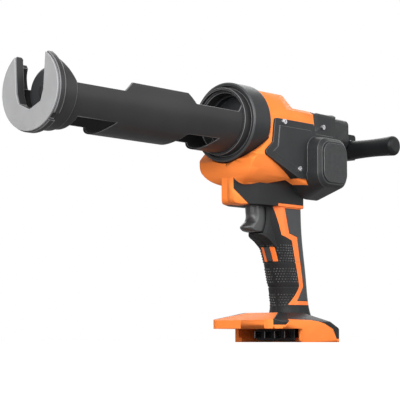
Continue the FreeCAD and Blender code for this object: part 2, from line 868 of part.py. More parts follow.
def pull_handle_shape():
    """Moulded side grip: a hub on the rod's end and a waisted round handle out to the left."""
    x = (HUB_FRONT + HUB_BACK) / 2
    z = -size.pull_drop
    half = size.hub_width / 2
    top = size.hub_top
    floor = z - size.pull_radius
    hub = side_prism(rectangle(HUB_FRONT, HUB_BACK, floor, top, size.hub_round), -half, half)
    start = Vector(x, -half, z)
    end_round = size.pull_end_round
    long_end = -size.pull_reach
    shoulder = Vector(x, long_end + end_round, z + size.pull_radius)
    waist = Vector(x, (-half + long_end + end_round) / 2, z + size.pull_waist)
    neck = Vector(x, -half, z + size.pull_radius)
    corner = Vector(x, long_end + end_round * (1 - math.sqrt(0.5)), z + size.pull_radius - end_round
                    * (1 - math.sqrt(0.5)))
    cap = Vector(x, long_end, z + size.pull_radius - end_round)
    tip = Vector(x, long_end, z)
    profile = Part.Wire([
        Part.makeLine(start, neck),
        Part.Arc(neck, waist, shoulder).toShape(),
        Part.Arc(shoulder, corner, cap).toShape(),
        Part.makeLine(cap, tip),
        Part.makeLine(tip, start),
    ])
    grip = Part.Face(profile).revolve(start, Vector(0, 1, 0), 360)
    handle = hub.fuse(grip)
    handle = handle.cut(block(HUB_FRONT - size.cut_margin, HUB_BACK - size.hub_round,
                              -size.rod_width / 2,
                              size.rod_width / 2, -size.rod_height / 2, size.rod_height / 2))
    return handle.cut(bar_y(size.rod_pin_radius, -size.hub_width, size.hub_width, x, 0))


def rod_without_hub_end():
    """The rod ends inside the hub, short of its back wall."""
    return push_rod_shape().cut(block(HUB_BACK - size.hub_round, HUB_BACK + size.cut_margin,
                                      -size.rod_width,
                                      size.rod_width, -size.rod_height, size.rod_height))


shape_part("push_rod", rod_without_hub_end())
shape_part("pull_handle", pull_handle_shape())
shape_part("pull_handle_pin", bar_y(size.rod_pin_radius, -size.hub_width / 2, size.hub_width / 2,
                                    (HUB_FRONT + HUB_BACK) / 2, 0))

PLUNGER_FRONT = "plunger_from_nose - nose_reach - plunger_thickness"
plunger = turned("plunger_disc", [
    (PLUNGER_FRONT, "0"),
    (PLUNGER_FRONT, "plunger_radius - plunger_round"),
    (PLUNGER_FRONT + " + plunger_round", "plunger_radius"),
    (PLUNGER_FRONT + " + plunger_thickness", "plunger_radius"),
    (PLUNGER_FRONT + " + plunger_thickness", "0"),
])
keep(plunger, "plunger")

nut = turned("plunger_nut_turned", [
    (PLUNGER_FRONT + " - nut_thickness", "0"),
    (PLUNGER_FRONT + " - nut_thickness", "nut_radius - nut_chamfer"),
    (PLUNGER_FRONT + " - nut_thickness + nut_chamfer", "nut_radius"),
    (PLUNGER_FRONT, "nut_radius"),
    (PLUNGER_FRONT, "0"),
])
keep(nut, "plunger_screw")

# motor and gears: everything on the transverse motor axis and on the pinion shaft above it
SPUR_RIGHT = -size.pinion_width / 2 - 2 * size.stack_gap
SPUR_LEFT = SPUR_RIGHT - size.spur_width
PLATE_RIGHT = SPUR_LEFT - size.stack_gap
RING_RIGHT = PLATE_RIGHT - size.gear_plate
CAN_RIGHT = RING_RIGHT - size.ring_gear_width
SUN_RADIUS = size.gear_module * size.sun_teeth / 2
PLANET_RADIUS = size.gear_module * size.planet_teeth / 2
RING_TEETH = size.sun_teeth + 2 * size.planet_teeth
ORBIT = SUN_RADIUS + PLANET_RADIUS
PLANETS = int(round(size.planet_count))
PLANET_ANGLES = [size.tooth_up + 360 * index / PLANETS for index in range(PLANETS)]


def involute(angle):
    return math.tan(angle) - angle


def gear_outline(module, teeth, thinning, above, below, turn, x, z, y):
    """A toothed outline of involute flanks about an axis along Y; a tooth points along turn."""
    pitch = module * teeth / 2
    base = pitch * math.cos(PRESSURE)
    tip = pitch + above * module
    root = pitch - below * module
    half = (math.pi * module / 2 - thinning) / (2 * pitch) + involute(PRESSURE)
    low = max(root, base)
    radii = [low + (tip - low) * step / 3 for step in range(4)]
    flank = [(radius, half - involute(math.acos(min(1.0, base / radius)))) for radius in radii]
    if root < base:
        flank.insert(0, (root, flank[0][1]))
    points = []
    for index in range(int(round(teeth))):
        middle = math.radians(turn) + 2 * math.pi * index / teeth
        for radius, spread in flank:
            points.append((radius, middle - spread))
        for radius, spread in reversed(flank):
            points.append((radius, middle + spread))
    corners = [Vector(x + r * math.cos(a), y, z + r * math.sin(a)) for r, a in points]
    return Part.makePolygon(corners + corners[:1])


def toothed(module, teeth, thinning, above, below, turn, x, z, y0, y1):
    wire = gear_outline(module, teeth, thinning, above, below, turn, x, z, y0)
    return Part.Face(wire).extrude(Vector(0, y1 - y0, 0))


SHAFT_HOLE = "motor_shaft_radius + run_gap"
CAN_INSIDE = CAN_SIZE + " - can_wall"
motor_can = turned("motor_can_turned", [
    (CAN_LEFT_END, SHAFT_HOLE),
    (CAN_LEFT_END, CAN_SIZE),
    (CAN_RIGHT_END, CAN_SIZE),
    (CAN_RIGHT_END, SHAFT_HOLE),
    (CAN_RIGHT_END + " - can_wall", SHAFT_HOLE),
    (CAN_RIGHT_END + " - can_wall", CAN_INSIDE),
    (CAN_LEFT_END + " + can_wall", CAN_INSIDE),
    (CAN_LEFT_END + " + can_wall", SHAFT_HOLE),
], along="Y", x="motor_back", z=MOTOR_LEVEL)
keep(motor_can, "motor_can")

ROTOR_LEFT = CAN_LEFT_END + " + can_wall + rotor_room"
ROTOR_RIGHT = CAN_RIGHT_END + " - can_wall - rotor_room"
SHAFT_END = CAN_RIGHT_END + " + stack_gap + planet_width"
motor_rotor = turned("motor_rotor_turned", [
    (CAN_LEFT_END + " + fit_gap", "0"),
    (CAN_LEFT_END + " + fit_gap", "motor_shaft_radius"),
    (ROTOR_LEFT, "motor_shaft_radius"),
    (ROTOR_LEFT, "rotor_radius"),
    (ROTOR_RIGHT, "rotor_radius"),
    (ROTOR_RIGHT, "motor_shaft_radius"),
    (SHAFT_END, "motor_shaft_radius"),
    (SHAFT_END, "0"),
], along="Y", x="motor_back", z=MOTOR_LEVEL)
keep(motor_rotor, "motor_rotor")

GEARS_LEFT = CAN_RIGHT + size.stack_gap
GEARS_RIGHT = GEARS_LEFT + size.planet_width
PLANET_PLATE_LEFT = GEARS_RIGHT + size.stack_gap
PLANET_PLATE_RIGHT = PLANET_PLATE_LEFT + size.planet_plate


def sun_gear_shape():
    gear = toothed(size.gear_module, size.sun_teeth, size.tooth_thinning, size.tooth_tip,
                   size.tooth_root, size.tooth_up,
                   size.motor_back, MOTOR_Z, GEARS_LEFT, GEARS_RIGHT)
    return gear.cut(bar_y(size.motor_shaft_radius, CAN_RIGHT, PLANET_PLATE_LEFT, size.motor_back,
                          MOTOR_Z))


def planet_shape(angle):
    x = size.motor_back + ORBIT * math.cos(math.radians(angle))
    z = MOTOR_Z + ORBIT * math.sin(math.radians(angle))
    gear = toothed(size.gear_module, size.planet_teeth, size.tooth_thinning, size.tooth_tip,
                   size.tooth_root, angle,
                   x, z, GEARS_LEFT, GEARS_RIGHT)
    return gear.cut(bar_y(size.planet_pin_radius + size.run_gap, CAN_RIGHT, PLANET_PLATE_LEFT, x, z))


def ring_gear_shape():
    case = bar_y(RING_CASE, CAN_RIGHT, RING_RIGHT, size.motor_back, MOTOR_Z)
    hole = toothed(size.gear_module, RING_TEETH, -size.tooth_thinning, size.tooth_root,
                   size.tooth_tip, size.tooth_up,
                   size.motor_back, MOTOR_Z, CAN_RIGHT - size.cut_margin, RING_RIGHT + size.cut_margin)
    return case.cut(hole)


def planet_carrier_shape():
    """Plate with three pins on the left and the output shaft on the right."""
    plate = bar_y(size.planet_plate_radius, PLANET_PLATE_LEFT, PLANET_PLATE_RIGHT, size.motor_back,
                  MOTOR_Z)
    plate = plate.fuse(bar_y(size.output_shaft_radius, PLANET_PLATE_RIGHT, SPUR_RIGHT,
                             size.motor_back, MOTOR_Z))
    for angle in PLANET_ANGLES:
        x = size.motor_back + ORBIT * math.cos(math.radians(angle))
        z = MOTOR_Z + ORBIT * math.sin(math.radians(angle))
        plate = plate.fuse(bar_y(size.planet_pin_radius, GEARS_LEFT, PLANET_PLATE_LEFT, x, z))
    return plate


def output_pinion_shape():
    gear = toothed(size.spur_module, size.output_teeth, size.tooth_thinning, size.tooth_tip,
                   size.tooth_root, size.tooth_up,
                   size.motor_back, MOTOR_Z, SPUR_LEFT, SPUR_RIGHT)
    return gear.cut(bar_y(size.output_shaft_radius, PLATE_RIGHT, 0, size.motor_back, MOTOR_Z))


def spur_gear_shape():
    half_tooth = 180 / size.spur_teeth
    gear = toothed(size.spur_module, size.spur_teeth, size.tooth_thinning, size.tooth_tip,
                   size.tooth_root,
                   half_tooth - size.tooth_up,
                   size.motor_back, PINION_Z, SPUR_LEFT, SPUR_RIGHT)
    return gear.cut(bar_y(size.pinion_shaft_radius, PLATE_RIGHT, 0, size.motor_back, PINION_Z))


def rack_pinion_shape():
    half = size.pinion_width / 2
    gear = toothed(size.rack_module, size.pinion_teeth, size.tooth_thinning, size.pinion_tip,
                   size.pinion_root, size.tooth_up,
                   size.motor_back, PINION_Z, -half, half)
    return gear.cut(bar_y(size.pinion_shaft_radius, -size.pinion_width, size.pinion_width,
                          size.motor_back, PINION_Z))


shape_part("sun_gear", sun_gear_shape())
for planet_number, planet_angle in enumerate(PLANET_ANGLES, 1):
    shape_part("planet_gear_%d" % planet_number, planet_shape(planet_angle))
shape_part("ring_gear", ring_gear_shape())
shape_part("planet_carrier", planet_carrier_shape())
shape_part("output_pinion", output_pinion_shape())
shape_part("spur_gear", spur_gear_shape())
shape_part("rack_pinion", rack_pinion_shape())

POST_LEFT = size.pinion_width / 2 + size.stack_gap
INNER_WALL = size.body_half_width - size.shell_wall
shape_part("pinion_shaft", bar_y(size.pinion_shaft_radius, RING_RIGHT,
                                 POST_LEFT + size.bearing_post_radius,
                                 size.motor_back, PINION_Z))


def gear_plate_shape():
    """Plate that closes the ring gear and carries the output shaft and the pinion shaft."""
    lower = bar_y(RING_CASE, RING_RIGHT, PLATE_RIGHT, size.motor_back, MOTOR_Z)
    upper = bar_y(size.bearing_post_radius, RING_RIGHT, PLATE_RIGHT, size.motor_back, PINION_Z)
    plate = lower.fuse(upper)
    plate = plate.cut(bar_y(size.output_shaft_radius + size.run_gap, CAN_RIGHT, 0,
                            size.motor_back, MOTOR_Z))
    return plate.cut(bar_y(size.pinion_shaft_radius + size.run_gap, CAN_RIGHT, 0,
                           size.motor_back, PINION_Z))


def bearing_post_shape():
    """Post from the right wall that carries the pinion shaft's other end."""
    post = bar_y(size.bearing_post_radius, POST_LEFT, INNER_WALL, size.motor_back, PINION_Z)
    return post.cut(bar_y(size.pinion_shaft_radius + size.run_gap, 0,
                          POST_LEFT + size.bearing_post_radius + size.stack_gap, size.motor_back, PINION_Z))


shape_part("gear_plate", gear_plate_shape())
shape_part("bearing_post", bearing_post_shape())

# body, yoke, grip and foot as full outer forms; a depth makes the same form smaller all round


def body_side():
    """Side view of the body, anticlockwise from the lower front of the belly."""
    return [
        (size.belly_front, -size.belly_floor, size.belly_round),
        (size.belly_back, -size.belly_floor + size.belly_lift, 0),
        (size.motor_back - size.tuck_ahead, -size.tuck_floor, 0),
        (size.motor_back - RING_CASE, BODY_FLOOR, 0),
        (BODY_BACK, BODY_FLOOR, size.underside_round),
        (BODY_BACK, size.roof_height, size.back_round),
        (size.body_front, size.roof_height, 0),
        (size.body_front, -size.belly_ramp_top, 0),
        (size.belly_front, -size.belly_top, 0),
    ]


def body_section(corner):
    """Front view of the body, anticlockwise from the lower right, with the radius of its lower corners."""
    half = size.body_half_width
    right = [
        (half, -size.belly_floor, corner),
        (half, size.side_top, 0),
        (half - size.shoulder_inset, size.shoulder_height, 0),
        (size.roof_half_width, size.roof_height, 0),
    ]
    left = [(-u, v, r) for u, v, r in reversed(right)]
    return right + left


def belly_reach(level):
    """Half width of the rounded belly at a level."""
    drop = size.belly_side_round - size.belly_floor - level
    if drop <= 0:
        return size.body_half_width
    run = math.sqrt(max(size.belly_side_round ** 2 - drop ** 2, 0.0))
    return size.body_half_width - size.belly_side_round + run


def hump_facet(side, depth):
    """Everything beyond the slanted facet on one side of the hump's rear."""
    top = Vector(size.hump_back, side * size.facet_half_width, size.hump_radius)
    foot = Vector(size.hump_foot, side * size.facet_half_width, size.roof_height)
    front = Vector(size.facet_front, side * size.facet_reach, size.facet_floor)
    normal = (foot - top).cross(front - top).normalize()
    if normal.z < 0:
        normal = -normal
    reach = 4 * size.hump_radius
    solid = Part.makeBox(2 * reach, 2 * reach, reach, Vector(-reach, -reach, 0))
    turn = FreeCAD.Rotation(Vector(0, 0, 1), normal)
    solid.Placement = FreeCAD.Placement(top - normal * depth, turn).multiply(solid.Placement)
    return solid


def slant_back(half):
    """Where the rear cover's slanted front edge lies at a half width."""
    return BODY_BACK - size.apex_from_back - (half - size.apex_half_width)


def rear_notch(side, depth):
    """Corner left out beside the neck, above the motor, behind the rear cover's slanted edge."""
    inner = size.neck_half_width - depth
    wide = 2 * size.body_half_width
    shift = size.notch_lap - depth * math.sqrt(2)
    corners = [
        (slant_back(wide) + shift, side * wide, 0),
        (slant_back(inner) + shift, side * inner, 0),
        (BODY_BACK + wide, side * inner, 0),
        (BODY_BACK + wide, side * wide, 0),
    ]
    return plan_prism(corners, MOTOR_Z + size.bulge_above + size.notch_lift - depth, wide)


def body_form(depth):
    wide = 2 * size.body_half_width
    side = side_prism(inset(body_side(), depth), -wide, wide)
    turn = size.motor_back - size.tuck_ahead + depth
    belly = inset(body_section(size.belly_side_round), depth)
    rear = inset(body_section(size.underside_round), depth)
    section = front_prism(belly, -wide, turn).fuse(front_prism(rear, turn, BODY_BACK + wide))
    plan = mirrored([
        (BODY_BACK, size.body_half_width, size.rear_corner_round),
        (size.belly_front, size.body_half_width, size.front_corner_round),
    ])
    form = side.common(section).common(plan_prism(inset(plan, depth), -wide, wide))
    hump_view = [
        (size.body_front, 0, 0),
        (size.hump_foot, 0, 0),
        (size.hump_foot, size.roof_height, 0),
        (size.hump_back, size.hump_radius, 0),
        (size.body_front, size.hump_radius, 0),
    ]
    hump = bar_x(size.hump_radius - depth, size.body_front, size.hump_foot)
    hump = hump.common(side_prism(inset(hump_view, depth), -wide, wide))
    for side in (-1, 1):
        hump = hump.cut(hump_facet(side, depth))
    form = form.fuse(hump)
    for side in (-1, 1):
        form = form.cut(rear_notch(side, depth))
    return form


def yoke_form(depth):
    """Chin in front of the trigger and the cheeks above it."""
    plan = mirrored([
        (size.yoke_back, size.yoke_half_width, size.yoke_round),
        (size.yoke_cheek, size.yoke_half_width, 0),
        (size.yoke_front, size.yoke_front_half_width, 0),
    ])
    side = [
        (size.yoke_front, -size.yoke_floor, size.yoke_round),
        (size.yoke_back, -size.yoke_floor, 0),
        (size.yoke_back, -size.yoke_top, 0),
        (size.yoke_front, -size.yoke_top, 0),
    ]
    form = plan_prism(inset(plan, depth), -size.yoke_floor, -size.yoke_top)
    wide = 2 * size.yoke_half_width
    return form.common(side_prism(inset(side, depth), -wide, wide))


def grip_form(depth):
    """Raked pistol grip, lofted through rounded sections from under the body into the foot."""
    half = size.grip_half_width
    sections = [
        (-size.tuck_floor, size.grip_top_front, size.grip_top_back, half + size.grip_swell),
        (-size.yoke_floor, size.grip_top_front, size.grip_top_back, half + size.grip_swell),
        (LIP, size.grip_lip_front, size.grip_lip_back, half),
        (PALM, size.grip_palm_front, size.grip_palm_back, half),
        (WAIST, size.grip_waist_front, size.grip_waist_back, half),
        (ROOT, size.grip_root_front, size.grip_root_back, half),
        (BASE, size.grip_base_front, size.grip_base_back, size.grip_base_half_width),
    ]
    wires = []
    for level, front, back, reach in sections:
        limit = min(half, (back - front) / 2) - depth
        nose = min(size.grip_front_round, limit) - depth
        heel = min(size.grip_round, limit) - depth
        corners = [
            (front + depth, depth - reach, nose),
            (back - depth, depth - reach, heel),
            (back - depth, reach - depth, heel),
            (front + depth, reach - depth, nose),
        ]
        wires.append(contour(corners, lambda p, z=level: Vector(p.x, p.y, z)))
    return Part.makeLoft(wires, True, False)


BEAK_TOP = -size.yoke_floor - size.trigger_height - size.beak_gap


def beak_form(depth):
    """Lip of the grip that reaches forward under the trigger."""
    half = size.beak_half_width
    back = size.grip_palm_front + size.grip_round
    view = [
        (size.beak_front, BEAK_TOP, 0),
        (size.beak_front + size.beak_run, BEAK_TOP - size.beak_depth, size.beak_round),
        (back, PALM, 0),
        (back, BEAK_TOP, 0),
    ]
    plan = rectangle(size.beak_front, back, -half, half, size.beak_round)
    form = side_prism(inset(view, depth), -half, half)
    return form.common(plan_prism(inset(plan, depth), PALM, BEAK_TOP))


def foot_plan():
    """Outline of the foot from above, with tighter corners at the rear."""
    half = size.foot_half_width
    return [
        (size.foot_front, -half, size.foot_round),
        (size.foot_back, -half, size.foot_rear_round),
        (size.foot_back, half, size.foot_rear_round),
        (size.foot_front, half, size.foot_round),
    ]


def foot_form():
    """Battery foot: a plate with a wedge top and sloped sides, two side walls and a heel under its rear."""
    half = size.foot_half_width
    plan = foot_plan()
    crest = GROUND + size.foot_crest_height
    view = [
        (size.foot_front, GROUND, 0),
        (size.foot_back, GROUND, 0),
        (size.foot_back, GROUND + size.foot_tail_height, 0),
        (size.foot_crest_back, crest, 0),
        (size.foot_crest_front, crest, 0),
        (size.foot_front, GROUND + size.foot_lip_height, 0),
    ]
    section = [
        (-half, GROUND, 0),
        (half, GROUND, 0),
        (half, GROUND + size.foot_side_height, 0),
        (size.foot_crest_half_width, crest, 0),
        (-size.foot_crest_half_width, crest, 0),
        (-half, GROUND + size.foot_side_height, 0),
    ]
    wide = 2 * half
    form = plan_prism(plan, GROUND, crest).common(side_prism(view, -wide, wide))
    form = form.common(front_prism(section, 0, size.foot_back + wide))
    under = GROUND - size.cut_margin
    floor = GROUND + size.plate_height
    form = form.cut(block(0, size.heel_front, -wide, wide, under, floor))
    seat_back = size.foot_back - size.heel_wall
    seat = size.seat_half_width
    form = form.cut(block(size.heel_front - size.cut_margin, seat_back, -seat, seat, under, floor))
    rail_top = GROUND + size.rail_thickness
    for side in (-1, 1):
        inner = side * (seat - size.rail_reach)
        outer = side * (seat + size.cut_margin)
        rail = block(size.heel_front, seat_back, min(inner, outer), max(inner, outer), GROUND, rail_top)
        form = form.fuse(rail)
    return form


BODY = body_form(0)
YOKE = yoke_form(0)
GRIP = grip_form(0).fuse(beak_form(0))
FOOT = foot_form()
COLLAR_ROOM = bar_x(size.collar_radius + size.collar_clearance, -size.nose_reach, size.body_front)
WIDE = 2 * size.foot_half_width
FAR = 2 * size.nose_reach
TRIGGER_TOP = -size.yoke_floor + size.trigger_tuck
TRIGGER_FLOOR = -size.yoke_floor - size.trigger_height
TRIGGER_ROOM = block(
    size.trigger_front - size.stack_gap,
    size.trigger_back + size.trigger_travel + size.stack_gap,
    -size.trigger_half_width - size.fit_gap,
    size.trigger_half_width + size.fit_gap,
    TRIGGER_FLOOR - size.fit_gap,
    TRIGGER_TOP + size.fit_gap,
)


def cover_region():
    """The rear of the body that the rear cover closes, cut off by two slanted planes and a flat apex."""
    apex = size.apex_half_width
    spread = size.body_half_width + size.bulge_round
    corners = mirrored([
        (FAR, spread, 0),
        (slant_back(spread), spread, 0),
        (slant_back(apex), apex, 0),
    ])
    return plan_prism(corners, -size.cover_floor, size.nose_radius * 2)


def shell_posts(radius, y0, y1):
    """Round posts or holes at the places of the screws that close the halves."""
    places = [
        (size.belly_screw_back, -size.belly_screw_drop),
        (size.brow_screw_back, -size.brow_screw_drop),
        (size.palm_screw_back, PALM + size.palm_screw_lift),
        (size.root_screw_back, ROOT + size.root_screw_lift),
    ]
    return [bar_y(radius, y0, y1, x, z) for x, z in places]


def fused(shapes):
    return shapes[0].multiFuse(shapes[1:])


CHIN_VIEW = [
    (0, -size.yoke_floor - size.cut_margin, 0),
    (size.yoke_front + size.chin_slope_run, -size.yoke_floor - size.cut_margin, 0),
    (size.yoke_front + size.chin_slope_run, -size.yoke_floor, 0),
    (size.yoke_front, -size.chin_slope_top, 0),
    (0, -size.chin_slope_top, 0),
]
CHIN = YOKE.common(side_prism(CHIN_VIEW, -WIDE, WIDE))
CHIN_FRONT = YOKE.common(block(0, size.yoke_cheek, -size.yoke_front_half_width,
                               size.yoke_front_half_width, -WIDE, 0))
GRIP_CORE = grip_form(size.overmould).fuse(beak_form(size.overmould))
OUTER = fused([BODY, yoke_form(size.overmould), CHIN, CHIN_FRONT, GRIP_CORE, FOOT]).cut(COLLAR_ROOM)
INNER_DEPTH = size.overmould + size.shell_wall
GUARD = bar_x(size.collar_radius + size.collar_clearance + size.shell_wall, -size.nose_reach,
              size.body_front + size.shell_wall)
BAY = block(size.bay_front, size.bay_back, -size.bay_half_width, size.bay_half_width,
            GROUND + size.bay_floor_height, GROUND + size.bay_roof_height)
HANDLE_FLOOR = block(-FAR, FAR, -WIDE, WIDE, GROUND + size.bay_floor_height, 0)
HANDLE_ROOM = fused([yoke_form(INNER_DEPTH), grip_form(INNER_DEPTH)]).common(HANDLE_FLOOR)
INNER = fused([body_form(size.shell_wall), HANDLE_ROOM, BAY]).cut(GUARD)
POSTS = fused(shell_posts(size.shell_post_radius, -WIDE, WIDE)).common(OUTER)
NECK_HOLE = bar_x(number(BOSS_NECK) + size.run_gap, size.body_front - size.cut_margin,
                  size.body_front + size.shell_wall + size.cut_margin)
MOTOR_HOLE = bar_y(CAN_RADIUS + size.fit_gap, -WIDE, CAN_RIGHT, size.motor_back, MOTOR_Z)
COVER_REGION = cover_region()


def flare_shape():
    """Soft skin that flows from the grip over the top of the foot, with a tongue over each front corner."""
    top = GROUND + 2 * size.foot_crest_height
    view = [
        (size.tongue_front, GROUND + size.tongue_height, 0),
        (size.tongue_back, GROUND + size.tongue_height, 0),
        (size.flare_shoulder_back, GROUND + size.flare_shoulder_height, 0),
        (size.flare_turn_back, GROUND + size.flare_turn_height, 0),
        (size.flare_bend_back, GROUND + size.flare_bend_height, 0),
        (size.flare_heel_back, GROUND + size.flare_heel_height, 0),
        (size.flare_tail_back, GROUND + size.flare_tail_height, 0),
        (size.foot_back + size.cut_margin, GROUND + size.flare_tail_height, 0),
        (size.foot_back + size.cut_margin, top, 0),
        (size.tongue_front, top, 0),
    ]
    plan = mirrored([
        (size.foot_back + size.cut_margin, WIDE, 0),
        (size.tongue_front, WIDE, 0),
        (size.tongue_front, size.tongue_half_width, 0),
        (size.flare_start, size.flare_start_half_width, 0),
    ])
    layer = FOOT.common(side_prism(view, -WIDE, WIDE)).common(plan_prism(plan, GROUND, top))
    depth = size.flare_depth
    core = FOOT.translated(Vector(0, 0, -depth))
    core = core.common(plan_prism(inset(foot_plan(), depth), GROUND - WIDE, top))
    return layer.cut(core).cut(GRIP_CORE).cut(INNER)


FLARE = flare_shape()


def overmould_shape():
    """Soft black skin over the yoke and the grip, between the belly and the foot."""
    skin = fused([YOKE, GRIP]).cut(OUTER).cut(INNER).cut(TRIGGER_ROOM).cut(COVER_REGION)
    for low in (PALM - size.upper_groove_step, WAIST + size.lower_groove_lift):
        band = block(0, size.stripe_knee_back, -WIDE, WIDE, low - size.groove_height, low)
        skin = skin.cut(band.cut(grip_form(size.groove_depth)))
    return skin


STRIPE_TOP = -size.yoke_floor + size.stripe_tuck
STRIPE_JOG = LIP - size.stripe_jog_step
STRIPE_KNEE = WAIST + size.stripe_knee_lift
STRIPE_FOOT = ROOT + size.stripe_foot_lift


def stripe_view():
    """The accent stripe's bent outline in side view, and the edge shared with the back strap."""
    width = size.stripe_width
    leg = size.stripe_leg_width
    front_edge = [
        (size.stripe_front, STRIPE_TOP - width),
        (size.stripe_leg_foot, STRIPE_JOG),
        (size.stripe_jog_back, STRIPE_JOG - size.stripe_jog_rise),
        (size.stripe_knee_back, STRIPE_KNEE),
        (size.stripe_foot_front, STRIPE_FOOT),
    ]
    back_edge = [
        (FAR, STRIPE_FOOT + width),
        (size.stripe_foot_front + leg, STRIPE_FOOT + width),
        (size.stripe_knee_back + leg - width / 2, STRIPE_KNEE),
        (size.stripe_jog_back + leg, STRIPE_JOG - size.stripe_jog_rise + width),
        (size.stripe_leg_foot + leg + width / 2, STRIPE_JOG + width / 2),
        (size.stripe_front + leg + width, STRIPE_TOP - width),
        (FAR, STRIPE_TOP - width / 2),
    ]
    return front_edge, back_edge


FRONT_EDGE, BACK_EDGE = stripe_view()
STRIPE_OUTLINE = [(u, v, 0) for u, v in FRONT_EDGE]
STRIPE_OUTLINE += [(FAR, STRIPE_FOOT, 0)]
STRIPE_OUTLINE += [(u, v, 0) for u, v in BACK_EDGE]
STRIPE_OUTLINE += [(FAR, STRIPE_TOP + size.stripe_width / 2, 0), (size.stripe_front, STRIPE_TOP, 0)]
STRIPE_ROOM = side_prism(STRIPE_OUTLINE, -WIDE, WIDE)
STRAP_ROOM = side_prism([(u, v, 0) for u, v in reversed(BACK_EDGE)], -WIDE, WIDE)
INLAY_TOP = LIP - size.inlay_step
INLAY_FLOOR = INLAY_TOP - size.inlay_height
INLAY_ROOM = block(0, size.grip_palm_front + size.inlay_reach, -size.inlay_half_width,
                   size.inlay_half_width,
                   INLAY_FLOOR, INLAY_TOP)
SKIN = overmould_shape()
LEFT_SIDE = block(-FAR, FAR, -WIDE, 0, -FAR, FAR)
RIGHT_SIDE = block(-FAR, FAR, 0, WIDE, -FAR, FAR)
grip_front = SKIN.cut(STRIPE_ROOM).cut(STRAP_ROOM).cut(INLAY_ROOM)
shape_part("grip_left", grip_front.common(LEFT_SIDE))
shape_part("grip_right", grip_front.common(RIGHT_SIDE))
stripe = SKIN.common(STRIPE_ROOM)
strap = SKIN.common(STRAP_ROOM)
shape_part("accent_stripe_left", stripe.common(LEFT_SIDE))
shape_part("accent_stripe_right", stripe.common(RIGHT_SIDE))
shape_part("back_strap_left", strap.common(LEFT_SIDE))
shape_part("back_strap_right", strap.common(RIGHT_SIDE))

BAR_ROOM = block(0, size.grip_palm_front + size.inlay_reach, -size.bar_half_width, size.bar_half_width,
                 INLAY_FLOOR, INLAY_TOP)
inlay_bar = GRIP.translated(Vector(-size.bar_proud, 0, 0)).common(BAR_ROOM)
inlay_bar = inlay_bar.cut(grip_form(size.bar_depth).fuse(beak_form(size.bar_depth)))
shape_part("grip_inlay", SKIN.common(INLAY_ROOM).cut(inlay_bar))
shape_part("inlay_bar", inlay_bar)
shape_part("foot_bumper", FLARE)

# motor cover: a flat panel on the left wall that grows into the bulge over the motor


def panel_outline():
    """Side view of the panel, anticlockwise from its front chin."""
    back = BODY_BACK - size.panel_from_back
    return [
        (size.panel_chin, -size.panel_chin_height, size.panel_round),
        (size.motor_back - size.panel_low_ahead, -size.panel_low_height, 0),
        (back, -size.panel_low_height, 0),
        (back, MOTOR_Z + size.bulge_above, 0),
        (slant_back(size.body_half_width), MOTOR_Z + size.bulge_above, 0),
        (slant_back(size.body_half_width) - size.panel_round, size.panel_top, 0),
        (size.panel_front, size.panel_top, size.panel_round),
        (size.panel_front - size.panel_round, -size.panel_brow_height, 0),
    ]


def badge_outline(grow):
    """Rounded outline of the badge plate about the motor's axis, made larger all round."""
    length = size.badge_half_length + grow
    height = size.badge_half_height + grow
    return rectangle(size.motor_back - length, size.motor_back + length, MOTOR_Z - height,
                     MOTOR_Z + height,
                     size.badge_round + grow / 2)


def bulge_form(depth):
    """Tapered dome over the motor, lofted outwards from the yoke's side to the badge plate."""
    outside = size.bulge_half_width - depth
    crown = size.bulge_crown
    front = size.motor_back - size.bulge_ahead
    back = size.motor_back + size.bulge_behind
    floor = MOTOR_Z - size.bulge_below
    top = MOTOR_Z + size.bulge_above
    base = [
        (front, floor, size.bulge_low_round),
        (back, floor, size.bulge_round),
        (back, top, size.bulge_round),
        (front, top, size.bulge_round),
    ]
    wires = []
    for level, corners in (
        (size.yoke_half_width, base),
        (outside - crown, badge_outline(crown)),
        (outside, badge_outline(0)),
    ):
        wires.append(contour(inset(corners, depth), lambda p, y=-level: Vector(p.x, y, p.y)))
    return Part.makeLoft(wires, True, True)


def screw_shape(x, z, face, side):
    """Pan-head screw standing on a side face, with a round driver socket."""
    head_end = face + size.screw_head_height
    shank_end = face - size.screw_shank_length
    levels = sorted((side * face, side * head_end))
    head = bar_y(size.screw_head_radius, levels[0], levels[1], x, z)
    rims = [edge for edge in head.Edges if abs(edge.CenterOfMass.y - side * head_end) < size.run_gap]
    rims = [edge for edge in rims if isinstance(edge.Curve, Part.Circle)]
    head = head.makeFillet(size.screw_head_height / 2, rims)
    levels = sorted((side * shank_end, side * face))
    shank = bar_y(size.screw_shank_radius, levels[0], levels[1], x, z)
    levels = sorted((side * (head_end - size.screw_socket_depth), side * (head_end + size.cut_margin)))
    return head.fuse(shank).cut(bar_y(size.screw_socket_radius, levels[0], levels[1], x, z))


def cover_screws(side):
    """The two screws of a side panel and the one on the neck of the rear cover."""
    face = size.body_half_width + size.panel_thickness
    return [
        screw_shape(size.upper_screw_back, size.panel_top - size.upper_screw_inset, face, side),
        screw_shape(size.motor_back - size.lower_screw_ahead, -size.lower_screw_drop, face, side),
        screw_shape(BODY_BACK + size.rear_screw_back, size.rear_screw_height, size.neck_half_width,
                    side),
    ]


LEFT_SCREWS = cover_screws(-1)
RIGHT_SCREWS = cover_screws(1)
SCREWS = fused(LEFT_SCREWS + RIGHT_SCREWS)
OUTER_FACE = size.body_half_width + size.panel_thickness


def motor_cover_shape():
    panel = side_prism(panel_outline(), -OUTER_FACE, size.panel_root - size.body_half_width)
    plateau = side_prism(inset(panel_outline(), size.plateau_margin),
                         -OUTER_FACE - size.plateau_height, -OUTER_FACE)
    cover = panel.fuse(plateau).fuse(bulge_form(0))
    cover = cover.cut(bulge_form(size.shell_wall).common(block(-FAR, FAR, -WIDE,
                                                               -size.body_half_width, -FAR, FAR)))
    return cover.cut(BODY).cut(YOKE).cut(SCREWS)


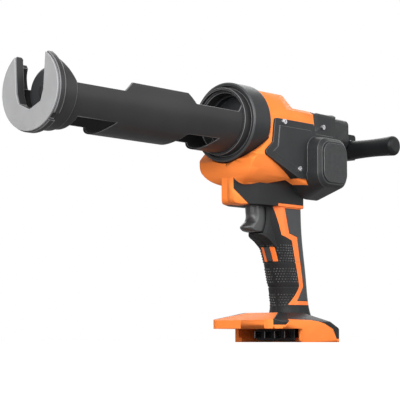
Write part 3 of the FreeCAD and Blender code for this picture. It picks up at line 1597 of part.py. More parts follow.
def side_cover_shape():
    """The panel's plain partner on the right, which stops where the rear cover begins."""
    panel = side_prism(panel_outline(), size.body_half_width - size.panel_root, OUTER_FACE)
    plateau = side_prism(inset(panel_outline(), size.plateau_margin), OUTER_FACE,
                         OUTER_FACE + size.plateau_height)
    limit = slant_back(size.body_half_width) - size.panel_round
    end = limit - size.plateau_margin
    plateau = plateau.common(block(-FAR, end, 0, WIDE, -FAR, FAR))
    return panel.common(block(-FAR, limit, 0, WIDE, -FAR,
                              FAR)).fuse(plateau).cut(BODY).cut(YOKE).cut(SCREWS)


shape_part("motor_cover", motor_cover_shape())
shape_part("side_cover_right", side_cover_shape())
badge = inset(badge_outline(0), size.badge_rim)
shape_part("motor_badge", side_prism(badge, -size.bulge_half_width - size.badge_thickness,
                                     -size.bulge_half_width))

# rear cover: the back of the body, the neck and the tail with its bush, dial and lever seats
LEVER_X = TAIL_BACK - size.lever_pivot_back
LEVER_Z = size.tail_roof - size.lever_pivot_drop
LEVER_TIP_Z = LEVER_Z - size.lever_tip_drop
LEVER_BOSS = size.lever_thickness / 2 + size.stack_gap
DIAL_AT = TAIL_BACK - size.dial_from_back


def rear_cover_shape():
    shell = BODY.cut(body_form(size.shell_wall)).common(COVER_REGION)
    neck_front = BODY_BACK - size.shell_wall
    neck_view = rectangle(-size.neck_half_width, size.neck_half_width, -size.neck_floor,
                          size.neck_roof, size.neck_round)
    tail_view = rectangle(-size.tail_half_width, size.tail_half_width, -size.tail_floor,
                          size.tail_roof, size.tail_round)
    neck = front_prism(neck_view, neck_front, NECK_BACK)
    tail = front_prism(tail_view, NECK_BACK - size.shell_wall, TAIL_BACK)
    hollow = front_prism(inset(neck_view, size.shell_wall), neck_front - size.cut_margin,
                         NECK_BACK - size.shell_wall)
    cover = shell.fuse(neck).fuse(tail).cut(hollow)
    side = size.rod_width / 2 + 2 * size.rod_gap
    top = size.rod_height / 2 + 2 * size.rod_gap
    cover = cover.cut(block(neck_front - size.cut_margin, FAR, -side, side, -top, top))
    side = size.rod_width / 2 + size.rod_gap + size.rear_bush_wall
    top = size.rod_height / 2 + size.rod_gap + size.rear_bush_wall
    cover = cover.cut(block(TAIL_BACK - size.rear_bush_length, FAR, -side, side, -top, top))
    cover = cover.cut(bar_z(size.dial_stem + size.run_gap,
                            size.tail_roof - size.dial_stem_length - size.stack_gap,
                            size.tail_roof + size.cut_margin, DIAL_AT, 0))
    slot = size.lever_half_width + size.fit_gap
    room = LEVER_BOSS + size.stack_gap
    lever_floor = LEVER_TIP_Z - size.lever_thickness / 4 - size.stack_gap
    cover = cover.cut(block(LEVER_X - room, FAR, -slot, slot, lever_floor,
                            size.tail_roof + size.cut_margin))
    cover = cover.cut(bar_y(size.lever_pin_radius, -size.tail_half_width + size.shell_wall,
                            size.tail_half_width - size.shell_wall, LEVER_X, LEVER_Z))
    return cover.cut(MOTOR_HOLE).cut(SCREWS)


def speed_dial_shape():
    """Thumb wheel with a notched rim, a domed step on top and a stem that turns in the tail's roof."""
    floor = size.tail_roof + size.fit_gap
    top = floor + size.dial_thickness
    count = int(round(size.dial_grooves))
    step = 2 * math.pi / count
    rim = []
    for index in range(count):
        for share, depth in ((0.0, 0.0), (0.5, 0.0), (0.6, 1.0), (0.9, 1.0)):
            angle = (index + share) * step
            radius = size.dial_radius - depth * size.dial_groove_depth
            rim.append((DIAL_AT + radius * math.cos(angle), radius * math.sin(angle), 0))
    dial = plan_prism(rim, floor, top - size.dial_step)
    dial = dial.fuse(bar_z(size.dial_radius - 2 * size.dial_groove_depth, top - size.dial_step, top,
                           DIAL_AT, 0))
    return dial.fuse(bar_z(size.dial_stem, size.tail_roof - size.dial_stem_length, floor, DIAL_AT, 0))


def release_lever_shape():
    """Small tab hinged in the tail's slot; its thin end stands out behind the tail."""
    half = size.lever_half_width
    tip_x = TAIL_BACK + size.lever_reach
    tip_z = LEVER_TIP_Z
    thick = size.lever_thickness
    boss = bar_y(LEVER_BOSS, -half, half, LEVER_X, LEVER_Z)
    view = [
        (LEVER_X, LEVER_Z - thick / 2, 0),
        (tip_x, tip_z - thick / 4, 0),
        (tip_x, tip_z + thick / 4, 0),
        (LEVER_X, LEVER_Z + thick / 2, 0),
    ]
    lever = boss.fuse(side_prism(view, -half, half))
    return lever.cut(bar_y(size.lever_pin_radius + size.run_gap, -2 * half, 2 * half, LEVER_X, LEVER_Z))


shape_part("rear_cover", rear_cover_shape())
shape_part("speed_dial", speed_dial_shape())
shape_part("release_lever", release_lever_shape())
shape_part("lever_pin", bar_y(size.lever_pin_radius, -size.tail_half_width + size.shell_wall,
                              size.tail_half_width - size.shell_wall, LEVER_X, LEVER_Z))

# trigger, switch and the electrics in the foot


TRIGGER_STEM = -size.yoke_floor - size.trigger_stem_step


def trigger_shape():
    """Finger trigger with a hollowed face, a forward lip and a round stem into the switch."""
    half = size.trigger_half_width
    lip = -size.yoke_floor - size.trigger_lip_step
    view = [
        (size.trigger_lip_front, lip, size.trigger_lip_depth / 2),
        (size.trigger_lip_front + size.trigger_lip_depth / 2, lip - size.trigger_lip_depth,
         size.trigger_lip_depth / 2),
        (size.trigger_heel, TRIGGER_FLOOR, 0),
        (size.trigger_back, TRIGGER_FLOOR, 0),
        (size.trigger_back, TRIGGER_TOP, 0),
        (size.trigger_front, TRIGGER_TOP, 0),
        (size.trigger_front + size.trigger_scoop, -size.yoke_floor - size.trigger_scoop_step,
         size.trigger_scoop_round),
    ]
    body = side_prism(view, -half, half)
    plan = rectangle(size.trigger_lip_front - size.stack_gap, size.trigger_back + size.trigger_round,
                     -half, half,
                     size.trigger_round)
    body = body.common(plan_prism(plan, TRIGGER_FLOOR, TRIGGER_TOP))
    stem = bar_x(size.trigger_stem_radius, size.trigger_back,
                 size.trigger_back + size.trigger_stem_length,
                 0, TRIGGER_STEM)
    return body.fuse(stem)


def trigger_switch_shape():
    half = size.grip_half_width - INNER_DEPTH - size.fit_gap
    module = block(size.switch_front, size.switch_back, -half, half,
                   -size.yoke_floor - size.switch_height,
                   -size.yoke_floor + size.switch_tuck)
    bore_end = size.trigger_back + size.trigger_stem_length + size.trigger_travel + size.stack_gap
    return module.cut(bar_x(size.trigger_stem_radius + size.fit_gap, size.trigger_back, bore_end, 0,
                            TRIGGER_STEM))


shape_part("trigger", trigger_shape())
shape_part("trigger_switch", trigger_switch_shape())

BOARD_LOW = "bay_floor_height - (%s)" % AXIS_RISE
PLATE_LOW = "plate_height - (%s)" % AXIS_RISE
board = padded("control_board_pad", "XY_Plane", box_points(
    "bay_front + fit_gap", "bay_back - fit_gap", "fit_gap - bay_half_width", "bay_half_width - fit_gap",
), BOARD_LOW, BOARD_LOW + " + board_thickness")
keep(board, "control_board")

terminal_block = padded("terminal_block_pad", "XY_Plane", box_points(
    "block_front", "foot_back - heel_wall", "-block_half_width", "block_half_width",
), PLATE_LOW + " - block_height", PLATE_LOW)
keep(terminal_block, "terminal_block")


def battery_contact_shapes():
    """Row of upright blades that slide into the battery's slots."""
    count = int(round(size.contact_count))
    middle = GROUND + size.plate_height - size.block_height / 2
    blades = []
    for index in range(count):
        y = (index - (count - 1) / 2) * size.contact_pitch
        half = size.contact_thickness / 2
        blades.append(block(size.block_front - size.contact_length, size.block_front, y - half,
                            y + half,
                            middle - size.contact_height / 2, middle + size.contact_height / 2))
    return blades


shape_part("battery_contacts", Part.makeCompound(battery_contact_shapes()))

# screws from the right that close the two halves, sunk in pockets


def shell_screw_lines():
    """For each screw its place and the level of its head's outer face, just under the right-hand surface."""
    lines = []
    for x, z, surface in (
        (size.belly_screw_back, -size.belly_screw_drop,
         belly_reach(-size.belly_screw_drop - size.shell_screw_head)),
        (size.brow_screw_back, -size.brow_screw_drop, size.body_half_width),
        (size.palm_screw_back, PALM + size.palm_screw_lift, size.grip_half_width),
        (size.root_screw_back, ROOT + size.root_screw_lift, size.grip_half_width),
    ):
        lines.append((x, z, surface - size.overmould - size.shell_screw_head_height))
    return lines


def shell_screw_shapes():
    screws = []
    for x, z, face in shell_screw_lines():
        head = bar_y(size.shell_screw_head, face - size.shell_screw_head_height, face, x, z)
        shank = bar_y(size.shell_screw_radius, -size.shell_screw_reach,
                      face - size.shell_screw_head_height, x, z)
        socket = bar_y(size.screw_socket_radius, face - size.screw_socket_depth, WIDE, x, z)
        screws.append(head.fuse(shank).cut(socket))
    return screws


def shell_screw_pockets():
    """Room for the heads and for a driver to reach them."""
    pockets = []
    for x, z, face in shell_screw_lines():
        radius = size.shell_screw_head + size.shell_screw_gap
        pockets.append(bar_y(radius, face - size.shell_screw_head_height, WIDE, x, z))
    return fused(pockets)


POCKETS = shell_screw_pockets()
shape_part("housing_screws", Part.makeCompound(shell_screw_shapes()))
shape_part("cover_screws_left", Part.makeCompound(LEFT_SCREWS))
shape_part("cover_screws_right", Part.makeCompound(RIGHT_SCREWS))

# the two halves of the clamshell


def housing_shape(side):
    """One half of the clamshell; side is -1 for the left, +1 for the right."""
    shell = OUTER.cut(INNER).fuse(POSTS)
    shell = shell.cut(NECK_HOLE).cut(COVER_REGION).cut(TRIGGER_ROOM).cut(FLARE)
    low, high = (-WIDE, 0) if side < 0 else (0, WIDE)
    half = shell.common(block(-FAR, FAR, low, high, -FAR, FAR)).cut(SCREWS)
    gap = size.shell_screw_gap if side > 0 else 0
    half = half.cut(fused(shell_posts(size.shell_screw_radius + gap, -size.shell_screw_reach, WIDE)))
    if side < 0:
        return half.cut(MOTOR_HOLE)
    return half.cut(POCKETS)


shape_part("housing_left", housing_shape(-1))
shape_part("housing_right", housing_shape(1))

doc.recompute()

# writing: every object sound, every sub-part valid, then one file for each
os.makedirs("parts", exist_ok=True)
for item in doc.Objects:
    if "Invalid" in item.State or "Error" in item.State:
        raise RuntimeError("not computed: " + item.Label)
for item in sub_parts:
    if item.Shape.isNull() or not item.Shape.isValid():
        raise RuntimeError("bad shape: " + item.Label)
for item in sub_parts:
    item.Shape.exportStep(os.path.join("parts", item.Label + ".step"))
    print("%-22s solids %d volume %.0f" % (item.Label, len(item.Shape.Solids), item.Shape.Volume))
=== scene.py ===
import math
import bmesh
import bpy
from mathutils import Matrix, Vector
from mathutils.bvhtree import BVHTree


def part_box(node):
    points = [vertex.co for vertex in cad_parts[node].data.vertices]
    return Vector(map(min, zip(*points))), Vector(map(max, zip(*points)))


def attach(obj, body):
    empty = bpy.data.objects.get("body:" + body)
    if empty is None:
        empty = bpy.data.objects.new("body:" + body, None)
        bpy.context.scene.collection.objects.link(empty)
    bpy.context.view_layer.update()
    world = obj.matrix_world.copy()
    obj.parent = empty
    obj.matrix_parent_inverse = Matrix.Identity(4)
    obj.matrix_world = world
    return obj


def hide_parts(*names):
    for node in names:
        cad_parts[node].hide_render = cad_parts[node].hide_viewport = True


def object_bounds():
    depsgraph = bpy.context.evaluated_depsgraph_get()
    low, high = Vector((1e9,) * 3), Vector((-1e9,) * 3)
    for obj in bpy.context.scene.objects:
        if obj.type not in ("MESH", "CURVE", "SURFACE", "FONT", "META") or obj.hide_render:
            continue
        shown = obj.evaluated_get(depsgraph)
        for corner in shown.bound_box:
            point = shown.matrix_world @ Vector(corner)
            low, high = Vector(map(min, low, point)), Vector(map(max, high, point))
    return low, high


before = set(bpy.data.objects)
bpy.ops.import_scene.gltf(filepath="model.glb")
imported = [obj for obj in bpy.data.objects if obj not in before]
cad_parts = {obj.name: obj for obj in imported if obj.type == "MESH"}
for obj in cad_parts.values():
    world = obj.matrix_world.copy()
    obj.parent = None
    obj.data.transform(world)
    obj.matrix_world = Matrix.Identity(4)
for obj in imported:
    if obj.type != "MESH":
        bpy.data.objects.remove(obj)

cad_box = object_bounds()


# Orange shell halves
# Two injection-moulded clamshell halves that form the body, the grip's core and the battery foot.
# Glass-filled plastic with a fine spark-eroded grain, closed by screws from the right-hand side.
def paint(red, green, blue):
    """A colour given in 8-bit screen values, turned to the linear values that shaders use."""
    linear = []
    for part in (red, green, blue):
        level = part / 255
        linear.append(level / 12.92 if level <= 0.04045 else ((level + 0.055) / 1.055) ** 2.4)
    return (*linear, 1.0)


def cloudy(tree, place, scale, detail):
    """A cloudy pattern over places in space, as a node output."""
    pattern = tree.nodes.new("ShaderNodeTexNoise")
    pattern.inputs["Scale"].default_value = scale
    pattern.inputs["Detail"].default_value = detail
    tree.links.new(place, pattern.inputs["Vector"])
    return pattern.outputs["Fac"]


# nearly all of a cloudy pattern lies between these two values
cloud_low = 0.3
cloud_high = 0.7


def tinted(tree, pattern, deep_shade, shade):
    """Lets a pattern move the surface's colour from a deep shade to a light one."""
    tint = tree.nodes.new("ShaderNodeValToRGB")
    deep_stop, light_stop = tint.color_ramp.elements
    deep_stop.position = cloud_low
    deep_stop.color = paint(*deep_shade)
    light_stop.position = cloud_high
    light_stop.color = paint(*shade)
    tree.links.new(pattern, tint.inputs["Fac"])
    tree.links.new(tint.outputs["Color"], tree.nodes["Principled BSDF"].inputs["Base Color"])


def uneven_gloss(tree, pattern, smoothest, roughest):
    """Lets a pattern move the surface's roughness between two values."""
    gloss = tree.nodes.new("ShaderNodeMapRange")
    gloss.inputs["From Min"].default_value = cloud_low
    gloss.inputs["From Max"].default_value = cloud_high
    gloss.inputs["To Min"].default_value = smoothest
    gloss.inputs["To Max"].default_value = roughest
    tree.links.new(pattern, gloss.inputs["Value"])
    tree.links.new(gloss.outputs["Result"], tree.nodes["Principled BSDF"].inputs["Roughness"])


def fine_relief(tree, pattern, depth, strength):
    """Lets a pattern stand out of the surface by a small depth."""
    bump = tree.nodes.new("ShaderNodeBump")
    bump.inputs["Distance"].default_value = depth
    bump.inputs["Strength"].default_value = strength
    tree.links.new(pattern, bump.inputs["Height"])
    tree.links.new(bump.outputs["Normal"], tree.nodes["Principled BSDF"].inputs["Normal"])


def moulded_finish(name, shade, deep_shade, roughness, grain, depth, specular=0.5, mottle=0.03):
    """Moulded plastic or rubber: a slow colour drift, a fine surface grain and uneven gloss."""
    material = bpy.data.materials.new(name)
    material.use_nodes = True
    tree = material.node_tree
    tree.nodes["Principled BSDF"].inputs["Specular IOR Level"].default_value = specular
    place = tree.nodes.new("ShaderNodeTexCoord").outputs["Object"]
    tinted(tree, cloudy(tree, place, 1 / mottle, detail=3.0), deep_shade, shade)
    speckle = cloudy(tree, place, 1 / grain, detail=2.0)
    gloss_spread = 0.06
    uneven_gloss(tree, speckle, roughness - gloss_spread, roughness + gloss_spread)
    fine_relief(tree, speckle, depth, strength=0.5)
    return material


def placed(name, data):
    """Puts mesh, lamp or camera data in the scene under a name."""
    piece = bpy.data.objects.new(name, data)
    bpy.context.scene.collection.objects.link(piece)
    return piece


def plain_mesh(piece):
    """Turns a piece's modifiers into its plain mesh."""
    bpy.context.view_layer.update()
    graph = bpy.context.evaluated_depsgraph_get()
    shaped = piece.evaluated_get(graph)
    mesh = bpy.data.meshes.new_from_object(shaped, preserve_all_data_layers=True, depsgraph=graph)
    piece.modifiers.clear()
    piece.data = mesh
    return piece


def merged(node, whole=False):
    """The faces of a CAD node, joined at their corners and, where asked, with flat areas made whole."""
    skin = bmesh.new()
    skin.from_mesh(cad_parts[node].data)
    corner_reach = 2e-6
    bmesh.ops.remove_doubles(skin, verts=skin.verts, dist=corner_reach)
    if whole:
        flat_angle = math.radians(0.5)
        bmesh.ops.dissolve_limit(skin, angle_limit=flat_angle, verts=skin.verts, edges=skin.edges)
    return skin


def surface_of(node):
    """The surface of a CAD node, to measure from."""
    skin = merged(node)
    surface = BVHTree.FromBMesh(skin)
    skin.free()
    return surface


def strays(mesh, surface, allowed):
    """Whether any part of a mesh has left the surface that it was made from."""
    places = [corner.co for corner in mesh.vertices]
    mesh.calc_loop_triangles()
    for triangle in mesh.loop_triangles:
        first, second, third = (mesh.vertices[index].co for index in triangle.vertices)
        places.append((first + second + third) / 3)
    for place in places:
        hit, normal, index, distance = surface.find_nearest(place)
        if distance > allowed:
            return True
    return False


def rounded(node, whole, width, finish, corner_highlight, fold, steps):
    """A copy of a CAD node whose corners sharper than a fold, in degrees, are rounded to a width."""
    skin = merged(node, whole)
    weights = skin.edges.layers.float.new("bevel_weight_edge")
    seam_reach = 1e-5
    seam_share = 0.3
    for edge in skin.edges:
        if len(edge.link_faces) == 2 and edge.calc_face_angle(0) > math.radians(fold):
            on_seam = all(abs(corner.co.y) < seam_reach for corner in edge.verts)
            edge[weights] = seam_share if on_seam else 1.0
    for face in skin.faces:
        face.smooth = True
    mesh = bpy.data.meshes.new(node + "_finish")
    skin.to_mesh(mesh)
    skin.free()
    mesh.materials.clear()
    mesh.materials.append(finish)
    mesh.materials.append(corner_highlight)
    piece = placed(node + "_finish", mesh)
    bevel = piece.modifiers.new("rounded corners", "BEVEL")
    bevel.limit_method = "WEIGHT"
    bevel.width = width
    bevel.segments = steps
    bevel.use_clamp_overlap = False
    # the rounded corners take the second finish, mostly a lighter colour that paints a highlight along the
    # edges
    bevel.material = 1
    level = piece.modifiers.new("even shading", "WEIGHTED_NORMAL")
    level.keep_sharp = False
    return plain_mesh(piece)


def dressed(node, body, finish, corner_highlight, edge_width, fold=28.0, steps=2):
    """A copy of a CAD node with rounded corners, which stands for that node.

    Narrower corners are tried, on flat areas made whole or not, until the copy keeps to the node's surface.
    """
    surface = surface_of(node)
    slack = 1e-4
    tries = [(whole, share) for share in (1.0, 0.5, 0.2) for whole in (True, False)]
    for whole, share in (*tries, (False, 0.0)):
        width = edge_width * share
        piece = rounded(node, whole, width, finish, corner_highlight, fold, steps)
        if not strays(piece.data, surface, width + slack):
            break
        bpy.data.meshes.remove(piece.data)
    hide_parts(node)
    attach(piece, body)
    return piece


shell_orange = moulded_finish("shell_orange", (244, 134, 64), (240, 128, 57),
                              roughness=0.58, grain=0.0007, depth=0.00004, specular=0.12)
# edges of the shell painted a touch lighter than its faces, as a highlight
shell_edge_highlight = moulded_finish("shell_edge_highlight", (245, 137, 67), (241, 130, 59),
                            roughness=0.58, grain=0.0009, depth=0.00003, specular=0.12)
for side in ("left", "right"):
    dressed("housing_" + side, "body", shell_orange, shell_edge_highlight, edge_width=0.0007)


# Front boss and rod bushes
# A die-cast boss, held by its flange between the shell halves, carries the collar.
# Two plain bushes guide the rod.
# Dark-grey casting with a sand-blasted skin, and dark acetal bushes pressed into their seats.
boss_grey = moulded_finish("boss_grey", (44, 45, 47), (38, 39, 41),
                           roughness=0.4, grain=0.0008, depth=0.0002, specular=0.3)
# edges of the boss, bushes and plunger painted lighter than their faces, as a highlight
boss_edge_highlight = moulded_finish("boss_edge_highlight", (70, 71, 73), (62, 63, 65),
                           roughness=0.34, grain=0.0008, depth=0.0001, specular=0.4)
bush_plastic = moulded_finish("bush_plastic", (34, 34, 36), (28, 28, 30),
                              roughness=0.45, grain=0.0006, depth=0.00008, specular=0.3)
dressed("front_boss", "body", boss_grey, boss_edge_highlight, edge_width=0.0004)
for node in ("front_rod_bush", "rear_rod_bush"):
    dressed(node, "body", bush_plastic, boss_edge_highlight, edge_width=0.0003)


# Motor and gear train
# A can motor with a planetary stage and a spur pair that turn the pinion under the rack.
# Rolled steel can, hobbed steel gears and a pressed plate, all inside the shell.
def metal_finish(name, shade, deep_shade, roughness, stretch, depth):
    """Bare or coated metal with fine tool lines drawn out along one direction."""
    material = bpy.data.materials.new(name)
    material.use_nodes = True
    tree = material.node_tree
    tree.nodes["Principled BSDF"].inputs["Metallic"].default_value = 1.0
    drawn = tree.nodes.new("ShaderNodeMapping")
    drawn.inputs["Scale"].default_value = stretch
    tree.links.new(tree.nodes.new("ShaderNodeTexCoord").outputs["Object"], drawn.inputs["Vector"])
    lines = cloudy(tree, drawn.outputs["Vector"], scale=1.0, detail=4.0)
    tinted(tree, lines, deep_shade, shade)
    uneven_gloss(tree, lines, smoothest=roughness - 0.05, roughest=roughness + 0.07)
    fine_relief(tree, lines, depth, strength=0.4)
    return material


def finish_node(node, finish):
    """Gives a CAD node that stays in view its finish."""
    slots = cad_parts[node].data.materials
    slots.clear()
    slots.append(finish)


steel = metal_finish("bright_steel", (178, 180, 184), (150, 152, 157),
                     roughness=0.3, stretch=(90, 900, 900), depth=0.00005)
gear_steel = metal_finish("gear_steel", (140, 141, 146), (112, 113, 118),
                          roughness=0.34, stretch=(900, 60, 900), depth=0.00004)
for node in ("motor_can", "motor_rotor", "pinion_shaft"):
    finish_node(node, steel)
for node in ("sun_gear", "planet_gear_1", "planet_gear_2", "planet_gear_3", "ring_gear", "planet_carrier",
             "output_pinion", "spur_gear", "rack_pinion", "gear_plate", "bearing_post"):
    finish_node(node, gear_steel)


# Push rod with its plunger
# A square rack bar that runs through the body, with a plastic plunger held by a screw at its front end.
# Broached steel, left bright, a moulded grey plunger and a black-oxide screw.
plunger_grey = moulded_finish("plunger_grey", (48, 49, 51), (42, 43, 45),
                              roughness=0.45, grain=0.0008, depth=0.0001, specular=0.3)
screw_oxide = metal_finish("screw_oxide", (74, 74, 77), (56, 56, 59),
                           roughness=0.36, stretch=(700, 700, 700), depth=0.00003)
dressed("push_rod", "rod", gear_steel, steel, edge_width=0.0002, steps=1)
dressed("plunger", "rod", plunger_grey, boss_edge_highlight, edge_width=0.0004)
dressed("plunger_screw", "rod", screw_oxide, screw_oxide, edge_width=0.0003)


# Cartridge carrier
# A steel half tube with stepped rims and two windows, a cast nose with an open slot, and a flanged ring.
# Rolled sheet with a satin black coat, painted light along its cut edges as a highlight and darker inside
# the tube as shade; the nose has a light-grey face.
carrier_black = moulded_finish("carrier_black", (49, 49, 50), (44, 44, 45),
                               roughness=0.38, grain=0.0012, depth=0.00006, specular=0.14, mottle=0.05)
carrier_edge_highlight = moulded_finish("carrier_edge_highlight", (114, 114, 116), (94, 94, 96),
                              roughness=0.34, grain=0.001, depth=0.00004, specular=0.4)
tube_inside_shade = moulded_finish("tube_inside_shade", (16, 16, 17), (12, 12, 13),
                             roughness=0.6, grain=0.0012, depth=0.00006, specular=0.12, mottle=0.05)
nose_grey = moulded_finish("nose_grey", (146, 146, 147), (138, 138, 139),
                           roughness=0.42, grain=0.0009, depth=0.00008, specular=0.3, mottle=0.02)
# the nose face's edges painted a touch lighter than the face, as a highlight
nose_rim_highlight = moulded_finish("nose_rim_highlight", (150, 150, 151), (140, 140, 142),
                          roughness=0.4, grain=0.0009, depth=0.00005)
tube = dressed("carrier_tube", "carrier", carrier_black, carrier_edge_highlight, edge_width=0.0004)
tube_axis_height = 0.194
outside_place, shaded_inside_place = 0, 2
inward_share = 0.7
# the faces that look into the tube take a darker copy of the black coat: painted shade inside the tube
tube.data.materials.append(tube_inside_shade)
for face in tube.data.polygons:
    inward = Vector((0, -face.center.y, tube_axis_height - face.center.z))
    if face.material_index == outside_place and face.normal.dot(inward.normalized()) > inward_share:
        face.material_index = shaded_inside_place
dressed("nose_ring", "carrier", carrier_black, carrier_edge_highlight, edge_width=0.0006)
dressed("nose_face", "carrier", nose_grey, nose_rim_highlight, edge_width=0.0004)
dressed("carrier_ring", "carrier", carrier_black, carrier_edge_highlight, edge_width=0.0004)


# Lock collar
# A moulded ring that snaps over the carrier's flange and twists to lock it.
# Black glass-filled plastic with a satin skin; its lips are glossier and painted lighter as a highlight.
cover_black = moulded_finish("cover_black", (44, 45, 46), (38, 39, 40),
                             roughness=0.4, grain=0.0008, depth=0.00014, specular=0.16)
cover_edge_highlight = moulded_finish("cover_edge_highlight", (62, 63, 64), (54, 55, 56),
                            roughness=0.32, grain=0.0009, depth=0.00006, specular=0.45)
dressed("lock_collar", "collar", cover_black, cover_edge_highlight, edge_width=0.0006)


# Black covers and the badge plate
# A panel with the motor bulge on the left, a plain panel on the right, and the back with the rod's tail.
# Black plastic with an eroded texture; the badge plate is glued in a shallow seat on the bulge.
badge_black = moulded_finish("badge_black", (46, 47, 48), (36, 37, 38),
                             roughness=0.5, grain=0.0005, depth=0.0004, specular=0.3, mottle=0.004)
for node in ("motor_cover", "side_cover_right", "rear_cover"):
    dressed(node, "body", cover_black, cover_edge_highlight, edge_width=0.0007)
dressed("motor_badge", "body", badge_black, cover_edge_highlight, edge_width=0.0005)


# Screws
# Thread-forming screws with a six-sided socket: three in each cover and four that close the shell.
# Bright zinc-plated steel, driven home on their seats.
def islands(node):
    """The lowest and highest corners of each separate solid in a CAD node."""
    skin = merged(node)
    left = dict.fromkeys(skin.verts)
    boxes = []
    while left:
        group = [left.popitem()[0]]
        for corner in group:
            for edge in corner.link_edges:
                other = edge.other_vert(corner)
                if other in left:
                    del left[other]
                    group.append(other)
        places = [corner.co for corner in group]
        low = Vector([min(place[axis] for place in places) for axis in range(3)])
        high = Vector([max(place[axis] for place in places) for axis in range(3)])
        boxes.append((low, high))
    skin.free()
    return boxes


def marked_points(name, places, facings):
    """A mesh of bare points, each with the direction that its instance faces."""
    mesh = bpy.data.meshes.new(name)
    mesh.from_pydata(places, [], [])
    facing = mesh.attributes.new("facing", "FLOAT_VECTOR", "POINT")
    facing.data.foreach_set("vector", [value for direction in facings for value in direction])
    return placed(name, mesh)


def instance_tree(name, sizes):
    """A node tree with one named input for each size, a material, and points to stand instances on."""
    tree = bpy.data.node_groups.new(name, "GeometryNodeTree")
    tree.interface.new_socket("Geometry", in_out="INPUT", socket_type="NodeSocketGeometry")
    for size_name in sizes:
        tree.interface.new_socket(size_name, in_out="INPUT", socket_type="NodeSocketFloat")
    tree.interface.new_socket("Finish", in_out="INPUT", socket_type="NodeSocketMaterial")
    tree.interface.new_socket("Geometry", in_out="OUTPUT", socket_type="NodeSocketGeometry")
    return tree, tree.nodes.new("NodeGroupInput"), tree.nodes.new("NodeGroupOutput")


def stand_on_points(tree, entry, leave, shape):
    """Stands a shape on every point, turned to face outwards, then makes it real with its finish."""
    link = tree.links.new
    facing = tree.nodes.new("GeometryNodeInputNamedAttribute")
    facing.data_type = "FLOAT_VECTOR"
    facing.inputs["Name"].default_value = "facing"
    turn = tree.nodes.new("FunctionNodeAlignRotationToVector")
    turn.axis = "Z"
    link(facing.outputs["Attribute"], turn.inputs["Vector"])
    stand = tree.nodes.new("GeometryNodeInstanceOnPoints")
    link(entry.outputs["Geometry"], stand.inputs["Points"])
    link(shape, stand.inputs["Instance"])
    link(turn.outputs["Rotation"], stand.inputs["Rotation"])
    real = tree.nodes.new("GeometryNodeRealizeInstances")
    link(stand.outputs["Instances"], real.inputs["Geometry"])
    coat = tree.nodes.new("GeometryNodeSetMaterial")
    link(real.outputs["Geometry"], coat.inputs["Geometry"])
    link(entry.outputs["Finish"], coat.inputs["Material"])
    link(coat.outputs["Geometry"], leave.inputs["Geometry"])


def grown(piece, tree, values):
    """Runs a node tree on a piece with these input values and keeps the result as its mesh."""
    modifier = piece.modifiers.new(tree.name, "NODES")
    modifier.node_group = tree
    for item in tree.interface.items_tree:
        if item.in_out == "INPUT" and item.name in values:
            modifier[item.identifier] = values[item.name]
    return plain_mesh(piece)


def scaled_value(tree, source, factor):
    """A size times a factor, as a node output."""
    product = tree.nodes.new("ShaderNodeMath")
    product.operation = "MULTIPLY"
    tree.links.new(source, product.inputs[0])
    product.inputs[1].default_value = factor
    return product.outputs["Value"]


def raised(tree, geometry, height):
    """Moves a shape along its own axis."""
    lift = tree.nodes.new("ShaderNodeCombineXYZ")
    tree.links.new(height, lift.inputs["Z"])
    move = tree.nodes.new("GeometryNodeTransform")
    tree.links.new(geometry, move.inputs["Geometry"])
    tree.links.new(lift.outputs["Vector"], move.inputs["Translation"])
    return move.outputs["Geometry"]


def screw_shape(tree, entry):
    """Pan head with a chamfered crown and a six-sided socket, and a plain shank."""
    link = tree.links.new
    sizes = entry.outputs
    crown_share = 0.82
    head = tree.nodes.new("GeometryNodeMeshCone")
    head.inputs["Vertices"].default_value = 28
    link(sizes["Head radius"], head.inputs["Radius Bottom"])
    link(scaled_value(tree, sizes["Head radius"], crown_share), head.inputs["Radius Top"])
    link(sizes["Head height"], head.inputs["Depth"])
    sunk_head = raised(tree, head.outputs["Mesh"], scaled_value(tree, sizes["Head height"], -1.0))
    socket = tree.nodes.new("GeometryNodeMeshCylinder")
    socket.inputs["Vertices"].default_value = 6
    link(sizes["Socket radius"], socket.inputs["Radius"])
    link(scaled_value(tree, sizes["Socket depth"], 2.0), socket.inputs["Depth"])
    cut = tree.nodes.new("GeometryNodeMeshBoolean")
    cut.operation = "DIFFERENCE"
    link(sunk_head, cut.inputs["Mesh 1"])
    link(socket.outputs["Mesh"], cut.inputs["Mesh 2"])
    shank = tree.nodes.new("GeometryNodeMeshCylinder")
    shank.inputs["Vertices"].default_value = 16
    link(sizes["Shank radius"], shank.inputs["Radius"])
    link(sizes["Shank length"], shank.inputs["Depth"])
    below = tree.nodes.new("ShaderNodeMath")
    below.operation = "SUBTRACT"
    link(scaled_value(tree, sizes["Shank length"], -0.5), below.inputs[0])
    link(sizes["Head height"], below.inputs[1])
    sunk_shank = raised(tree, shank.outputs["Mesh"], below.outputs["Value"])
    whole = tree.nodes.new("GeometryNodeJoinGeometry")
    link(cut.outputs["Mesh"], whole.inputs["Geometry"])
    link(sunk_shank, whole.inputs["Geometry"])
    return whole.outputs["Geometry"]


